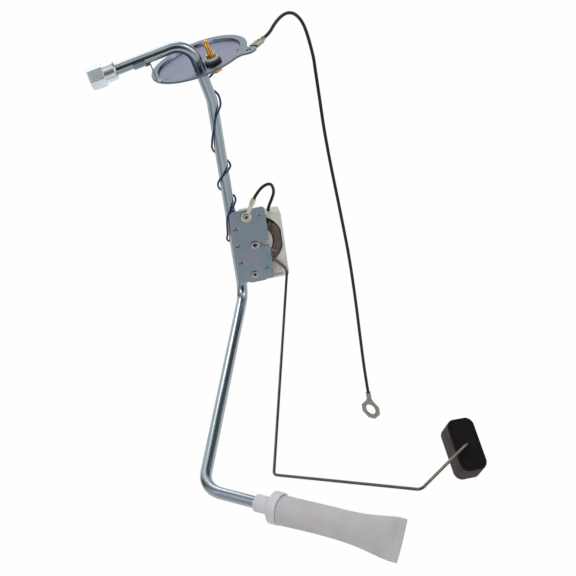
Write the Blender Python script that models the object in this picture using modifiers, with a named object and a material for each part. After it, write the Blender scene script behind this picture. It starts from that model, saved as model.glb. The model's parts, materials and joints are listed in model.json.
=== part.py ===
# Fuel level sender: flange, pickup tube with strainer, resistor sender, float arm and ground lead.
#
# Metres, +Z up. The origin is the centre of the flange plate's flat underside. +Z is the plate's
# normal, out of the tank. The outlet tube leaves towards -X. The sender bracket faces -Y.

import math

import bmesh
import bpy
from mathutils import Matrix, Vector

MM = 0.001
GAP = 0.3 * MM                      # clearance between pieces that seat on each other
LAP = 1.0 * MM                      # how far shapes that are joined run into each other
CUT_PAST = 1.0 * MM                 # how far a cutter runs past the face that it opens
THROUGH = 40.0 * MM                 # half length of a cutter that goes right through
FACET_SAG = 0.05 * MM               # how far a facet may lie inside the true round
BEND_FACET = math.radians(11.0)     # turn of one facet along a tube's or a wire's bend
SHARP_ANGLE = math.radians(35.0)
QUARTER = math.radians(90.0)

# Flange plate, a round stamping with a raised rim and one ear
PLATE_RADIUS = 43.1 * MM
SHEET = 1.5 * MM
RIM_WIDTH = 5.2 * MM
RIM_RISE = 2.4 * MM
RIM_SLOPE = 1.6 * MM
RIM_SOFTEN = 0.5 * MM
UNDERSIDE_CLEAR = 12.0 * MM         # flat middle of the underside, clear of the braze and the stud's bush
GROOVE_WIDTH = 1.0 * MM             # pressed groove round that middle
GROOVE_DEPTH = 0.3 * MM
EAR_ANGLE = math.radians(-32.6)
EAR_STANDOUT = 5.7 * MM             # from the plate's edge to the centre of the ear's hole
EAR_REACH = PLATE_RADIUS + EAR_STANDOUT
EAR_RADIUS = 6.8 * MM
EAR_HOLE_RADIUS = 2.4 * MM
EAR_TIP_ARC = math.radians(62.0)
EAR_FLARE = 0.5 * MM                # how much wider the ear's neck is than its tip
EAR_NECK_BACK = 3.7 * MM
EAR_SHOULDER_BACK = 1.3 * MM        # in from the plate's edge
EAR_SHOULDER_HALF = 10.8 * MM
EAR_BASE_HALF = 12.5 * MM
TICK_RADIUS = 34.6 * MM
TICK_LENGTH = 4.6 * MM
TICK_WIDTH = 1.3 * MM
TICK_DEPTH = 0.5 * MM
TICK_ANGLES = [math.radians(a) for a in (-156.0, -138.0, -82.0, -18.0)]

# Blade on the ear, for the ground lead's connector
BLADE_ANGLE = math.radians(45.0)
BLADE_WIDTH = 6.3 * MM
BLADE_THICK = 0.8 * MM
BLADE_REACH = 15.5 * MM
BLADE_ROOT = EAR_HOLE_RADIUS + LAP

# Pickup tube, 3/8 inch
TUBE_RADIUS = 4.76 * MM
TUBE_WALL = 0.9 * MM
TUBE_X = -2.4 * MM
TUBE_Y = -20.0 * MM
BAR_HEIGHT = 27.0 * MM
BAR_END_X = -84.0 * MM
TOP_BEND = 17.0 * MM
KINK_DEPTH = 28.0 * MM
KINK_BEND = 30.0 * MM
TUBE_LEAN = math.radians(11.4)
UPPER_LENGTH = 189.8 * MM
LOW_BEND = 16.0 * MM
LOWER_RUN = Vector((-78.7, -221.0, -26.5)) * MM
FOOT_BEND = 25.0 * MM
FOOT_DIRECTION = Vector((0.750, -0.649, -0.142)).normalized()
FOOT_LENGTH = 64.0 * MM
FLARE_RADIUS = 6.5 * MM
FLARE_LENGTH = 2.0 * MM
BRAZE_RADIUS = 6.4 * MM
BRAZE_HEIGHT = 1.4 * MM
BRAZE_SHOULDER_IN = 0.8 * MM
BRAZE_SHOULDER_DOWN = 0.5 * MM
BRAZE_TOE = 0.5 * MM

# Tube nut on the outlet
NUT_FLATS = 17.5 * MM
NUT_HEX_LENGTH = 13.0 * MM
NUT_CHAMFER_IN = 1.6 * MM
NUT_CHAMFER_DEPTH = 1.0 * MM
NUT_COLLAR_RADIUS = 8.0 * MM
NUT_COLLAR_LENGTH = 10.5 * MM
NUT_COLLAR_CHAMFER = 1.4 * MM
NUT_SOCKET_RADIUS = 6.9 * MM
NUT_OVERHANG = 6.5 * MM             # how far the nut reaches past the tube's flare

# Clip that carries the outlet tube on the plate's rim
CLIP_THICK = 0.9 * MM
CLIP_WIDTH = 7.0 * MM
CLIP_RIM_CLEAR = 0.5 * MM
CLIP_POST_X = -math.sqrt(PLATE_RADIUS ** 2 - TUBE_Y ** 2) - CLIP_RIM_CLEAR - CLIP_THICK
CLIP_FOOT = 4.2 * MM
CLIP_SADDLE_LENGTH = 10.5 * MM
CLIP_SADDLE_GAP = 2.6 * MM          # from the post to the saddle
CLIP_WRAP = math.radians(184.0)

# Electrical stud through the plate, with its stack of pieces above and below
STUD_RADIUS = 2.4 * MM
STUD_BORE = STUD_RADIUS + GAP
STUD_TOP = 21.7 * MM
STUD_TAIL = 1.0 * MM
STUD_TIP = 0.7 * MM
GASKET_RADIUS = 7.3 * MM
GASKET_THICK = 2.6 * MM
GASKET_EDGE = 0.6 * MM
WASHER_RADIUS = 5.9 * MM
WASHER_THICK = 2.0 * MM
WASHER_EDGE = 0.5 * MM
STUD_NUT_FLATS = 7.9 * MM
STUD_NUT_HEIGHT = 3.0 * MM
INSULATOR_RADIUS = 5.8 * MM
INSULATOR_THICK = 2.2 * MM
BOSS_RADIUS = 4.2 * MM
LOWER_NUT_FLATS = 9.5 * MM
LOWER_NUT_HEIGHT = 2.6 * MM
STUD_ASIDE = max(BRAZE_RADIUS + INSULATOR_RADIUS, TUBE_RADIUS + GASKET_RADIUS) + GAP
STUD_X = TUBE_X + STUD_ASIDE
STUD_Y = -17.6 * MM

# Signal wire's terminal on the stud
LUG_THICK = 0.8 * MM
LUG_RADIUS = 4.2 * MM
LUG_NECK_HALF = 2.6 * MM
LUG_LENGTH = 9.0 * MM
LUG_ANGLE = math.radians(60.0)      # away from the tube and from the underside's flat middle
LUG_BARREL_LENGTH = 3.0 * MM
LUG_BARREL_WALL = 0.6 * MM

# Heights in the stud's stack
GASKET_LOW = SHEET + GAP
WASHER_LOW = GASKET_LOW + GASKET_THICK + GAP
STUD_NUT_LOW = WASHER_LOW + WASHER_THICK + GAP
INSULATOR_LOW = -GAP - INSULATOR_THICK
LUG_TOP = INSULATOR_LOW - GAP
LUG_MIDDLE = LUG_TOP - LUG_THICK / 2
LOWER_NUT_TOP = LUG_TOP - LUG_THICK - GAP
LOWER_NUT_LOW = LOWER_NUT_TOP - LOWER_NUT_HEIGHT
STUD_LOW = LOWER_NUT_LOW - STUD_TAIL

# Bracket, in the sender's frame: x right, y away from the viewer, z up along the tube, pivot at 0
PIVOT_ABOVE_BEND = 49.8 * MM
PIVOT_ALONG = UPPER_LENGTH - PIVOT_ABOVE_BEND         # down the tube from its kink
PIVOT_ASIDE = 16.7 * MM             # right of the tube's axis
BRACKET_THICK = 1.2 * MM
BRACKET_LEFT = PIVOT_ASIDE + 1.2 * MM
BRACKET_RIGHT = 13.3 * MM
BRACKET_CORNER = 3.0 * MM
RIVET_X = -4.0 * MM
RIVET_Z = 29.3 * MM
RIVET_MARGIN = 6.7 * MM             # from a rivet to the bracket's end
BRACKET_HALF = RIVET_Z + RIVET_MARGIN
LANCE_RADIUS = 2.6 * MM
LANCE_HEIGHT = 1.0 * MM
LANCE_SLIT = 1.0 * MM               # height of the slit under the raised half
LANCE_SIDES = 14
LANCE_PITCH = 17.0 * MM
LANCE_SHIFT = 1.7 * MM
LANCE_INSET = 3.5 * MM              # in from the bracket's left edge
PIP_X = 7.8 * MM
PIP_Z = 26.5 * MM
PIP_RADIUS = 1.9 * MM
PIP_HEIGHT = 0.8 * MM
LIP_LEFT = -9.0 * MM
LIP_WIDTH = 14.5 * MM
LIP_REACH = 2.2 * MM
LIP_DROP = 1.0 * MM

# Hollow rivets and the pivot's bushing, rolled over at their ends
RIVET_SHANK = 1.9 * MM
RIVET_BORE = 1.2 * MM
RIVET_HEAD = 3.3 * MM
RIVET_HEAD_THICK = 0.8 * MM
RIVET_EDGE = 0.4 * MM
RIVET_ROLL = 0.9 * MM               # how far the rolled end stands out from the shank
PIVOT_SHANK = 2.5 * MM
PIVOT_BORE = 1.6 * MM
PIVOT_HEAD = 3.8 * MM
PIVOT_HEAD_THICK = 0.9 * MM
PIVOT_EDGE = 0.4 * MM
PIVOT_ROLL = 1.0 * MM
SLOT_WIDTH = 5.1 * MM
SLOT_CLEAR = 1.2 * MM               # from the bushing's head to the slot

# Float arm's wire and the rotor that it turns
ARM_RADIUS = 1.2 * MM
ARM_CLEAR = 0.75 * MM               # in front of the wire and behind it
ARM_DEPTH = ARM_CLEAR + ARM_RADIUS  # wire's centre behind the bracket's back face
ARM_ANGLE = math.radians(-51.0)
ARM_LEG = 41.4 * MM
ARM_BEND = 5.0 * MM
ARM_REACH = Vector((-68.9, -218.7, -47.1)) * MM
ARM_CROSS = Vector((100.7, -80.9, 0.0)) * MM
ARM_TIP = Vector((47.6, 31.5, 0.0)) * MM
ROTOR_RADIUS = 17.0 * MM
ROTOR_THICK = 1.6 * MM
ROTOR_HUB = PIVOT_SHANK + GAP + 1.6 * MM
ROTOR_LOW_ANGLE = math.radians(-105.0)
ROTOR_HIGH_ANGLE = math.radians(40.0)
ARM_START = ROTOR_HUB + GAP
JAW_HEIGHT = 1.5 * MM
JAW_THICK = 1.6 * MM
JAW_LENGTH = 3.0 * MM
JAW_SPOTS = (6.2 * MM, 10.6 * MM)
ROTOR_PIN_X = 10.4 * MM             # small hole in the disc, seen through the bracket's slot
ROTOR_PIN_RADIUS = 0.7 * MM
WIPER_ANGLE = math.radians(-34.0)
WIPER_WIDTH = 3.0 * MM
WIPER_TIP_WIDTH = 2.0 * MM
WIPER_THICK = 0.35 * MM
WIPER_START = JAW_SPOTS[-1] + JAW_LENGTH + GAP
WIPER_SHORT = 1.6 * MM              # from its tip to the card's outer edge

# Resistor card and the nylon housing that holds it
CARD_INNER = ROTOR_RADIUS + 1.0 * MM
CARD_WIDTH = 7.0 * MM
CARD_OUTER = CARD_INNER + CARD_WIDTH
CARD_HALF_ANGLE = math.radians(40.0)
CARD_STEPS = 28
CARD_BITE = 0.35 * MM
END_CLIP_ANGLE = math.radians(47.5)
END_CLIP_INSET = 0.5 * MM
HOUSING_WALL = 2.0 * MM
HOUSING_TUBE_CLEAR = 1.5 * MM
HOUSING_FRONT = ARM_DEPTH + ARM_RADIUS + ARM_CLEAR
HOUSING_DEPTH = 11.5 * MM
HOUSING_BOTTOM = 39.0 * MM
HOUSING_CORNER = 2.2 * MM
POCKET_RADIUS = CARD_OUTER + 1.9 * MM
POCKET_DEPTH = 6.6 * MM
POCKET_FLAT = 1.3 * MM              # cut off the round by the right wall
POCKET_TOP = 24.0 * MM
HOUSING_RIGHT = POCKET_RADIUS - POCKET_FLAT + HOUSING_WALL
HOUSING_LEFT = PIVOT_ASIDE - TUBE_RADIUS - HOUSING_TUBE_CLEAR
HOUSING_TOP = POCKET_TOP + HOUSING_WALL
POCKET_FLOOR = HOUSING_FRONT + POCKET_DEPTH
CARD_THICK = POCKET_DEPTH - 2 * GAP
HOUSING_EAR_THICK = 3.4 * MM
HOUSING_EAR_HALF = 4.6 * MM
HOUSING_EAR_LAP = 2.6 * MM
GROOVE_X = 18.0 * MM
GROOVE_WIDTH = 8.0 * MM
GROOVE_HEIGHT = 1.6 * MM
GROOVE_DEPTH = 1.4 * MM
GROOVE_LOW = 2.4 * MM               # up from the housing's bottom

# Float
FLOAT_LENGTH = 43.0 * MM
FLOAT_WIDTH = 22.0 * MM
FLOAT_THICK = 18.0 * MM
FLOAT_CORNER = 4.2 * MM
FLOAT_EDGE = 1.2 * MM
FLOAT_EDGE_ANGLE = math.radians(60.0)
FLOAT_TILT = math.radians(49.5)
FLOAT_TURN = math.radians(31.0)
FLOAT_STANDOFF = 4.0 * MM
FLOAT_FLOOR = 5.0 * MM              # left behind the wire's end
FLOAT_SINK = FLOAT_THICK - FLOAT_FLOOR

# Strainer sock on the tube's foot
COLLAR_GRIP = 14.3 * MM             # how much of the tube's foot the collar covers
COLLAR_START = FOOT_LENGTH - COLLAR_GRIP
NECK_RADIUS = TUBE_RADIUS + GAP + 1.8 * MM
NECK_LENGTH = 14.5 * MM
CUP_RADIUS = 12.6 * MM
CUP_LENGTH = 8.0 * MM
CUP_WALL = 1.6 * MM
CUP_FLOOR = 2.0 * MM
COLLAR_EDGE = 0.7 * MM
SOCK_LENGTH = 100.0 * MM
SOCK_INSET = 0.5 * MM
SOCK_END_WIDTH = 33.5 * MM
SOCK_END_THICK = 2.6 * MM
SOCK_FLATTEN = 1.4                  # over 1, the sock stays round for longer
SOCK_ROLL = math.radians(38.0)
SOCK_SIDES = 24
SOCK_RINGS = 12

# Wires and the crimps on their ends
SIGNAL_RADIUS = 0.9 * MM
JUMPER_RADIUS = 1.375 * MM
LEAD_RADIUS = 1.5 * MM
WIRE_SPACING = 2.5                  # diameters from point to point along a wire
CRIMP_WALL = 0.9 * MM
CRIMP_LENGTH = 4.9 * MM
CONNECTOR_WALL = 0.75 * MM
CONNECTOR_WIDTH = BLADE_WIDTH + 2 * (GAP + CONNECTOR_WALL)
CONNECTOR_HEIGHT = BLADE_THICK + 2 * (GAP + CONNECTOR_WALL)
CONNECTOR_MOUTH = EAR_RADIUS + GAP + 0.4 * MM
CONNECTOR_BACK = 1.2 * MM           # metal behind the blade's end
CONNECTOR_END = BLADE_REACH + GAP + CONNECTOR_BACK
GUTTER_WIDTH = 1.2 * MM
GUTTER_LENGTH = 7.2 * MM
EYELET_MARGIN = 1.5 * MM            # how far the eyelet stands out from the rivet's head
EYELET_NECK_HALF = 1.9 * MM
EYELET_BARREL_LENGTH = 6.3 * MM
RING_BARREL_LENGTH = 9.0 * MM
RING_WIDTH = 20.5 * MM
RING_FLAT_HALF = 3.9 * MM           # half of each flat of the ring's outline
RING_HOLE = 5.8 * MM
RING_THICK = 1.0 * MM
RING_NECK_HALF = 2.2 * MM
RING_STEP = 1.2 * MM                # from the barrel to the ring's edge
RING_TURN = math.radians(45.0)

# Ground lead's route, chosen by hand in millimetres: out of the connector, over, and down
LEAD_ROUTE = [(60.2, -7.2, 3.2), (64.8, -2.7, 4.1), (70.6, 2.9, 6.6), (77.2, 9.0, 8.2), (84.0, 15.2, 7.5),
              (89.8, 19.9, 3.8), (93.8, 23.9, -3.2), (95.9, 26.3, -12.0), (96.2, 27.4, -24.0),
              (95.0, 27.6, -42.2), (92.5, 27.3, -57.0), (88.4, 26.0, -79.6), (83.0, 24.2, -109.0),
              (78.3, 22.5, -140.2), (74.4, 20.8, -170.0), (70.3, 19.2, -201.2), (65.9, 17.5, -233.0),
              (60.6, 15.9, -264.4), (54.4, 14.2, -297.0), (48.0, 12.6, -328.9), (42.0, 11.4, -360.0),
              (37.2, 9.9, -388.0)]

# Signal wire: points in millimetres, from its terminal back under the stud and behind the tube, then
# distance down the tube from the kink, angle round it (0 right, 90 front), distance out
SIGNAL_START = [(17.1, -5.4, -3.2), (18.3, -3.3, -3.7), (18.6, -2.4, -6.0), (16.6, -3.6, -8.2),
                (13.2, -6.9, -8.7), (9.7, -9.8, -9.0), (5.8, -12.3, -9.6), (1.2, -13.6, -11.6),
                (-2.2, -13.5, -15.6), (0.6, -14.2, -20.4)]
SIGNAL_ROUTE = [(-2.5, -24.0, 6.8), (4.3, 8.0, 6.7), (8.0, 50.0, 6.4), (12.5, 83.0, 6.3),
                (18.0, 100.0, 6.2), (24.2, 115.0, 6.2), (30.7, 138.0, 6.3), (36.5, 157.0, 6.4),
                (43.0, 186.0, 6.5), (49.0, 226.0, 6.5), (55.0, 284.0, 6.5), (59.5, 332.0, 6.6),
                (62.0, 372.0, 6.7), (64.0, 418.0, 6.5), (67.0, 455.0, 6.4), (71.0, 492.0, 6.5),
                (77.0, 530.0, 6.9), (84.0, 575.0, 6.6), (89.5, 635.0, 6.5), (92.5, 690.0, 6.6),
                (94.5, 730.0, 6.5), (97.5, 772.0, 6.5), (102.5, 812.0, 6.4), (108.5, 844.0, 6.5),
                (116.0, 859.0, 6.5), (125.0, 870.0, 6.5), (132.5, 906.0, 6.7), (139.0, 968.0, 6.7)]

# Jumper wire from the upper rivet to the housing's top, in the sender's frame, in millimetres
JUMPER_ROUTE = [(5.6, -1.9, 45.9), (7.6, -1.9, 48.6), (10.3, -1.8, 51.6), (13.2, -1.4, 54.0),
                (16.4, -0.6, 55.4), (20.0, 0.6, 55.6), (22.8, 2.4, 53.4), (24.2, 4.4, 48.6),
                (24.0, 6.2, 43.4), (22.2, 7.8, 38.0), (19.8, 8.7, 33.0), (18.0, 9.0, 29.0),
                (17.4, 9.0, 26.4)]

# Colours, each with its roughness and its metallic value
ZINC = ((0.52, 0.55, 0.60), 0.30, 0.9)
BRIGHT_ZINC = ((0.55, 0.60, 0.62), 0.25, 0.95)
BRASS = ((0.76, 0.49, 0.13), 0.25, 1.0)
NYLON = ((0.82, 0.84, 0.86), 0.40, 0.0)
BLACK_RUBBER = ((0.02, 0.02, 0.022), 0.60, 0.0)
BLACK_MOULDING = ((0.03, 0.03, 0.032), 0.50, 0.0)
TINNED = ((0.62, 0.60, 0.55), 0.30, 0.95)
RIVET_STEEL = ((0.60, 0.62, 0.62), 0.30, 0.95)
ARM_STEEL = ((0.55, 0.54, 0.50), 0.25, 0.95)
BRONZE = ((0.70, 0.50, 0.25), 0.30, 0.95)
BRAZE_METAL = ((0.60, 0.58, 0.50), 0.35, 0.9)
WINDING = ((0.30, 0.22, 0.15), 0.45, 0.0)
BLUE_INSULATION = ((0.03, 0.08, 0.30), 0.40, 0.0)
BLACK_INSULATION = ((0.013, 0.013, 0.014), 0.45, 0.0)
FLOAT_RUBBER = ((0.035, 0.032, 0.03), 0.70, 0.0)
MESH_WHITE = ((0.85, 0.86, 0.88), 0.70, 0.0)


def clear_scene():
    for obj in list(bpy.data.objects):
        bpy.data.objects.remove(obj, do_unlink=True)


def make_collection(name):
    collection = bpy.data.collections.new(name)
    bpy.context.scene.collection.children.link(collection)
    return collection


def make_material(name, look):
    color, roughness, metallic = look
    material = bpy.data.materials.new(name)
    material.use_nodes = True
    shader = material.node_tree.nodes["Principled BSDF"]
    shader.inputs["Base Color"].default_value = (*color, 1.0)
    shader.inputs["Roughness"].default_value = roughness
    shader.inputs["Metallic"].default_value = metallic
    return material


def move_to(obj, collection):
    for old in list(obj.users_collection):
        old.objects.unlink(obj)
    collection.objects.link(obj)


def finish_part(obj, look):
    obj.data.name = obj.name
    obj.data.materials.clear()
    obj.data.materials.append(make_material(obj.name, look))
    move_to(obj, PARTS)
    if obj.type == "MESH":
        obj.data.shade_smooth()
        obj.data.set_sharp_from_angle(angle=SHARP_ANGLE)
    return obj


def place(obj, matrix):
    obj.matrix_world = matrix
    return obj


def at(x, y, z):
    return Matrix.Translation((x, y, z))


def boolean(target, other, operation):
    """Adds a Boolean of two placed objects; the other one then follows the target."""
    modifier = target.modifiers.new(operation.lower() + "_" + other.name, "BOOLEAN")
    modifier.operation = operation
    modifier.solver = "EXACT"
    modifier.object = other
    other.parent = target
    other.matrix_parent_inverse = target.matrix_basis.inverted()
    other.hide_render = True
    other.display_type = "WIRE"
    move_to(other, CUTTERS)
    return target


def cut(target, other):
    return boolean(target, other, "DIFFERENCE")


def join(target, other):
    return boolean(target, other, "UNION")


def facets(radius, sweep=4 * QUARTER):
    """How many facets keep a round of this radius within the sag."""
    return max(2, math.ceil(sweep / (2 * math.acos(1 - FACET_SAG / radius))))


def arc(radius, start, end, centre=(0.0, 0.0)):
    steps = facets(radius, abs(end - start))
    angles = [start + (end - start) * step / steps for step in range(steps + 1)]
    return [(centre[0] + radius * math.cos(angle), centre[1] + radius * math.sin(angle)) for angle in angles]


def box(name, low, high):
    bpy.ops.mesh.primitive_cube_add(size=1.0)
    obj = bpy.context.active_object
    obj.name = name
    size = Vector(high) - Vector(low)
    middle = (Vector(low) + Vector(high)) / 2
    obj.data.transform(Matrix.Translation(middle) @ Matrix.Diagonal((*size, 1.0)))
    return obj


def cylinder(name, radius, low, high, sides=None):
    """A cylinder or a prism about the local Z axis from low to high."""
    bpy.ops.mesh.primitive_cylinder_add(vertices=sides or facets(radius), radius=radius, depth=high - low)
    obj = bpy.context.active_object
    obj.name = name
    obj.data.transform(at(0, 0, (low + high) / 2))
    return obj


def hexagon(name, flats, low, high):
    return cylinder(name, flats / math.sqrt(3), low, high, sides=6)


def drill(target, name, radius, matrix, low=-THROUGH, high=THROUGH):
    """Cuts a round hole along the matrix's Z axis, right through unless low or high stops it."""
    return cut(target, place(cylinder(name, radius, low, high), matrix))


def lathe(name, profile):
    """A turned ring or plug from a profile of (radius, height) that runs down its outer side."""
    mesh = bpy.data.meshes.new(name)
    edges = [(i, i + 1) for i in range(len(profile) - 1)]
    if profile[0][0] > 0 or profile[-1][0] > 0:
        edges.append((len(profile) - 1, 0))
    mesh.from_pydata([(r, 0.0, z) for r, z in profile], edges, [])
    obj = bpy.data.objects.new(name, mesh)
    PARTS.objects.link(obj)
    screw = obj.modifiers.new("screw", "SCREW")
    screw.axis = "Z"
    screw.steps = facets(max(r for r, z in profile))
    screw.render_steps = screw.steps
    screw.use_merge_vertices = True
    screw.merge_threshold = 0.00001
    screw.use_smooth_shade = True
    return obj


def turned_ring(name, inner, outer, low, high, edge):
    """A flat ring with its upper outer edge broken."""
    profile = [(inner, high), (outer - edge, high), (outer, high - edge), (outer, low), (inner, low)]
    return lathe(name, profile)


def rolled_tube(name, bore, shank, head, front, head_thick, edge, roll, back):
    """A tubular rivet: its head, its shank and the end that is rolled over at the back."""
    top = front + head_thick
    return lathe(name, [(bore, top), (head - edge, top), (head, top - edge), (head, front), (shank, front),
                        (shank, -back), (shank + roll, -back), (shank + roll, -back - head_thick),
                        (bore, -back - head_thick)])


def plate_outline(name, outline, thickness):
    """A flat plate from a closed outline in XY, centred on z = 0."""
    curve = bpy.data.curves.new(name, "CURVE")
    curve.dimensions = "2D"
    curve.fill_mode = "BOTH"
    curve.extrude = thickness / 2
    spline = curve.splines.new("POLY")
    spline.points.add(len(outline) - 1)
    for point, (x, y) in zip(spline.points, outline):
        point.co = (x, y, 0.0, 1.0)
    spline.use_cyclic_u = True
    obj = bpy.data.objects.new(name + "_curve", curve)
    PARTS.objects.link(obj)
    return as_mesh(obj, name)


def as_mesh(obj, name):
    """Turn a curve object into a mesh object with its caps welded."""
    bpy.context.view_layer.update()
    evaluated = obj.evaluated_get(bpy.context.evaluated_depsgraph_get())
    mesh = bpy.data.meshes.new_from_object(evaluated)
    work = bmesh.new()
    work.from_mesh(mesh)
    bmesh.ops.remove_doubles(work, verts=work.verts, dist=0.000001)
    work.to_mesh(mesh)
    work.free()
    bpy.data.objects.remove(obj, do_unlink=True)
    solid = bpy.data.objects.new(name, mesh)
    PARTS.objects.link(solid)
    return solid


def rod(name, points, radius, resolution=3, radii=None, caps=True):
    """A round rod, wire or tube along points."""
    curve = bpy.data.curves.new(name, "CURVE")
    curve.dimensions = "3D"
    curve.bevel_depth = radius
    curve.bevel_resolution = resolution
    curve.use_fill_caps = caps
    spline = curve.splines.new("POLY")
    spline.points.add(len(points) - 1)
    for index, position in enumerate(points):
        spline.points[index].co = (*position, 1.0)
        spline.points[index].radius = radii[index] if radii else 1.0
    obj = bpy.data.objects.new(name, curve)
    PARTS.objects.link(obj)
    return obj


def wire(name, route, radius):
    """An insulated wire on a smooth curve through its route."""
    points = smooth_route(route, WIRE_SPACING * 2 * radius)
    return rod(name, points, radius, resolution=2)


def bent_path(corners, radii):
    """Straight runs through corners, each corner rounded by its bend radius."""
    path = [Vector(corners[0])]
    for before, corner, after, radius in zip(corners, corners[1:], corners[2:], radii):
        back = (Vector(before) - Vector(corner)).normalized()
        ahead = (Vector(after) - Vector(corner)).normalized()
        half = back.angle(ahead) / 2
        centre = Vector(corner) + (back + ahead).normalized() * (radius / math.sin(half))
        start = Vector(corner) + back * (radius / math.tan(half)) - centre
        axis = (-back).cross(ahead).normalized()
        sweep = math.pi - 2 * half
        steps = max(2, math.ceil(sweep / BEND_FACET))
        path += [centre + Matrix.Rotation(sweep * step / steps, 3, axis) @ start for step in range(steps + 1)]
    path.append(Vector(corners[-1]))
    return path


def spline_points(points, steps=20):
    """A fine polyline on a smooth curve that passes through every given point."""
    points = [Vector(p) for p in points]
    padded = [2 * points[0] - points[1]] + points + [2 * points[-1] - points[-2]]
    fine = []
    for a, b, c, d in zip(padded, padded[1:], padded[2:], padded[3:]):
        for step in range(steps):
            t = step / steps
            square = (2 * a - 5 * b + 4 * c - d) * t * t
            cube = (3 * b - a - 3 * c + d) * t * t * t
            fine.append((2 * b + (c - a) * t + square + cube) / 2)
    fine.append(points[-1])
    return fine


def smooth_route(points, spacing):
    """Points at even spacing on the smooth curve through a route."""
    fine = spline_points(points)
    lengths = [0.0]
    for a, b in zip(fine, fine[1:]):
        lengths.append(lengths[-1] + (b - a).length)
    count = max(2, round(lengths[-1] / spacing))
    route = [fine[0]]
    index = 0
    for step in range(1, count):
        target = lengths[-1] * step / count
        while lengths[index + 1] < target:
            index += 1
        share = (target - lengths[index]) / (lengths[index + 1] - lengths[index])
        route.append(fine[index].lerp(fine[index + 1], share))
    return route + [fine[-1]]


def rounded_outline(left, right, bottom, top, radius):
    """A rectangle with round corners, from its upper right corner round to the left."""
    outline = arc(radius, 0, QUARTER, (right - radius, top - radius))
    outline += arc(radius, QUARTER, 2 * QUARTER, (left + radius, top - radius))
    outline += arc(radius, 2 * QUARTER, 3 * QUARTER, (left + radius, bottom + radius))
    return outline + arc(radius, 3 * QUARTER, 4 * QUARTER, (right - radius, bottom + radius))


def both_sides(half_outline):
    """Closes a half outline with its mirror image in the second axis."""
    return half_outline + [(-x, y) for x, y in reversed(half_outline)]


# The tube's own points and the sender's frame follow from the driving sizes

DOWN_TUBE = Vector((-math.sin(TUBE_LEAN), 0.0, -math.cos(TUBE_LEAN)))
KINK = Vector((TUBE_X, TUBE_Y, -KINK_DEPTH))
LOW_CORNER = KINK + DOWN_TUBE * UPPER_LENGTH
FOOT_CORNER = LOW_CORNER + LOWER_RUN
BRACKET_BACK = TUBE_Y - TUBE_RADIUS - GAP
UPRIGHT = Matrix.Rotation(TUBE_LEAN, 4, "Y")
PIVOT = KINK + DOWN_TUBE * PIVOT_ALONG + UPRIGHT.to_3x3() @ Vector((PIVOT_ASIDE, 0.0, 0.0))
SENDER = at(PIVOT.x, BRACKET_BACK, PIVOT.z) @ UPRIGHT
FACING = Matrix.Rotation(QUARTER, 4, "X")             # takes a flat outline's Z to -Y, its Y to +Z
TO_X = Matrix.Rotation(QUARTER, 4, "Y")               # takes a turned piece's Z to +X
TO_Y = Matrix.Rotation(-QUARTER, 4, "X")              # takes a turned piece's Z to +Y
ON_STUD = at(STUD_X, STUD_Y, 0)


def sender_place(y=0.0, x=0.0, z=0.0):
    """Places an outline or a turned piece so that its own +Z faces the viewer at depth y."""
    return SENDER @ at(x, y, z) @ FACING


def frame_of(centre, across, third, along):
    """A frame at the centre whose X, Y and Z run along the three directions."""
    return Matrix.Translation(centre) @ Matrix((across, third, along)).transposed().to_4x4()


def plate_profile():
    step_in = PLATE_RADIUS - RIM_WIDTH
    floor_edge = step_in - RIM_SLOPE
    top = RIM_RISE + SHEET
    edge = RIM_SOFTEN
    groove_out = UNDERSIDE_CLEAR + GROOVE_WIDTH
    return [(0.0, SHEET), (floor_edge, SHEET), (step_in - edge, top - edge / 2), (step_in + edge, top),
            (PLATE_RADIUS - edge, top), (PLATE_RADIUS, top - edge), (PLATE_RADIUS, RIM_RISE),
            (step_in + edge, RIM_RISE), (step_in, RIM_RISE - edge / 2),
            (floor_edge + SHEET / 2, 0.0), (groove_out, 0.0), (groove_out - GROOVE_DEPTH, GROOVE_DEPTH),
            (UNDERSIDE_CLEAR + GROOVE_DEPTH, GROOVE_DEPTH), (UNDERSIDE_CLEAR, 0.0), (0.0, 0.0)]


def ear_outline():
    """The ear in its own frame: x out from the plate's centre, y along the rim."""
    base = PLATE_RADIUS - RIM_WIDTH / 2
    neck_half = EAR_RADIUS + EAR_FLARE
    low = [(base, -EAR_BASE_HALF), (PLATE_RADIUS - EAR_SHOULDER_BACK, -EAR_SHOULDER_HALF),
           (EAR_REACH - EAR_NECK_BACK, -neck_half)]
    tip = arc(EAR_RADIUS, -EAR_TIP_ARC, EAR_TIP_ARC, (EAR_REACH, 0.0))
    return low + tip + [(x, -y) for x, y in reversed(low)]


def ear_centre():
    return Vector((EAR_REACH * math.cos(EAR_ANGLE), EAR_REACH * math.sin(EAR_ANGLE), RIM_RISE + SHEET / 2))


def blade_frame():
    """+Z runs out of the ear along the blade, +X across its width, +Y is its thickness."""
    along = Vector((math.cos(BLADE_ANGLE), math.sin(BLADE_ANGLE), 0.0))
    across = Vector((math.sin(BLADE_ANGLE), -math.cos(BLADE_ANGLE), 0.0))
    down = Vector((0.0, 0.0, -1.0))
    return frame_of(ear_centre(), across, down, along)


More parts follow.
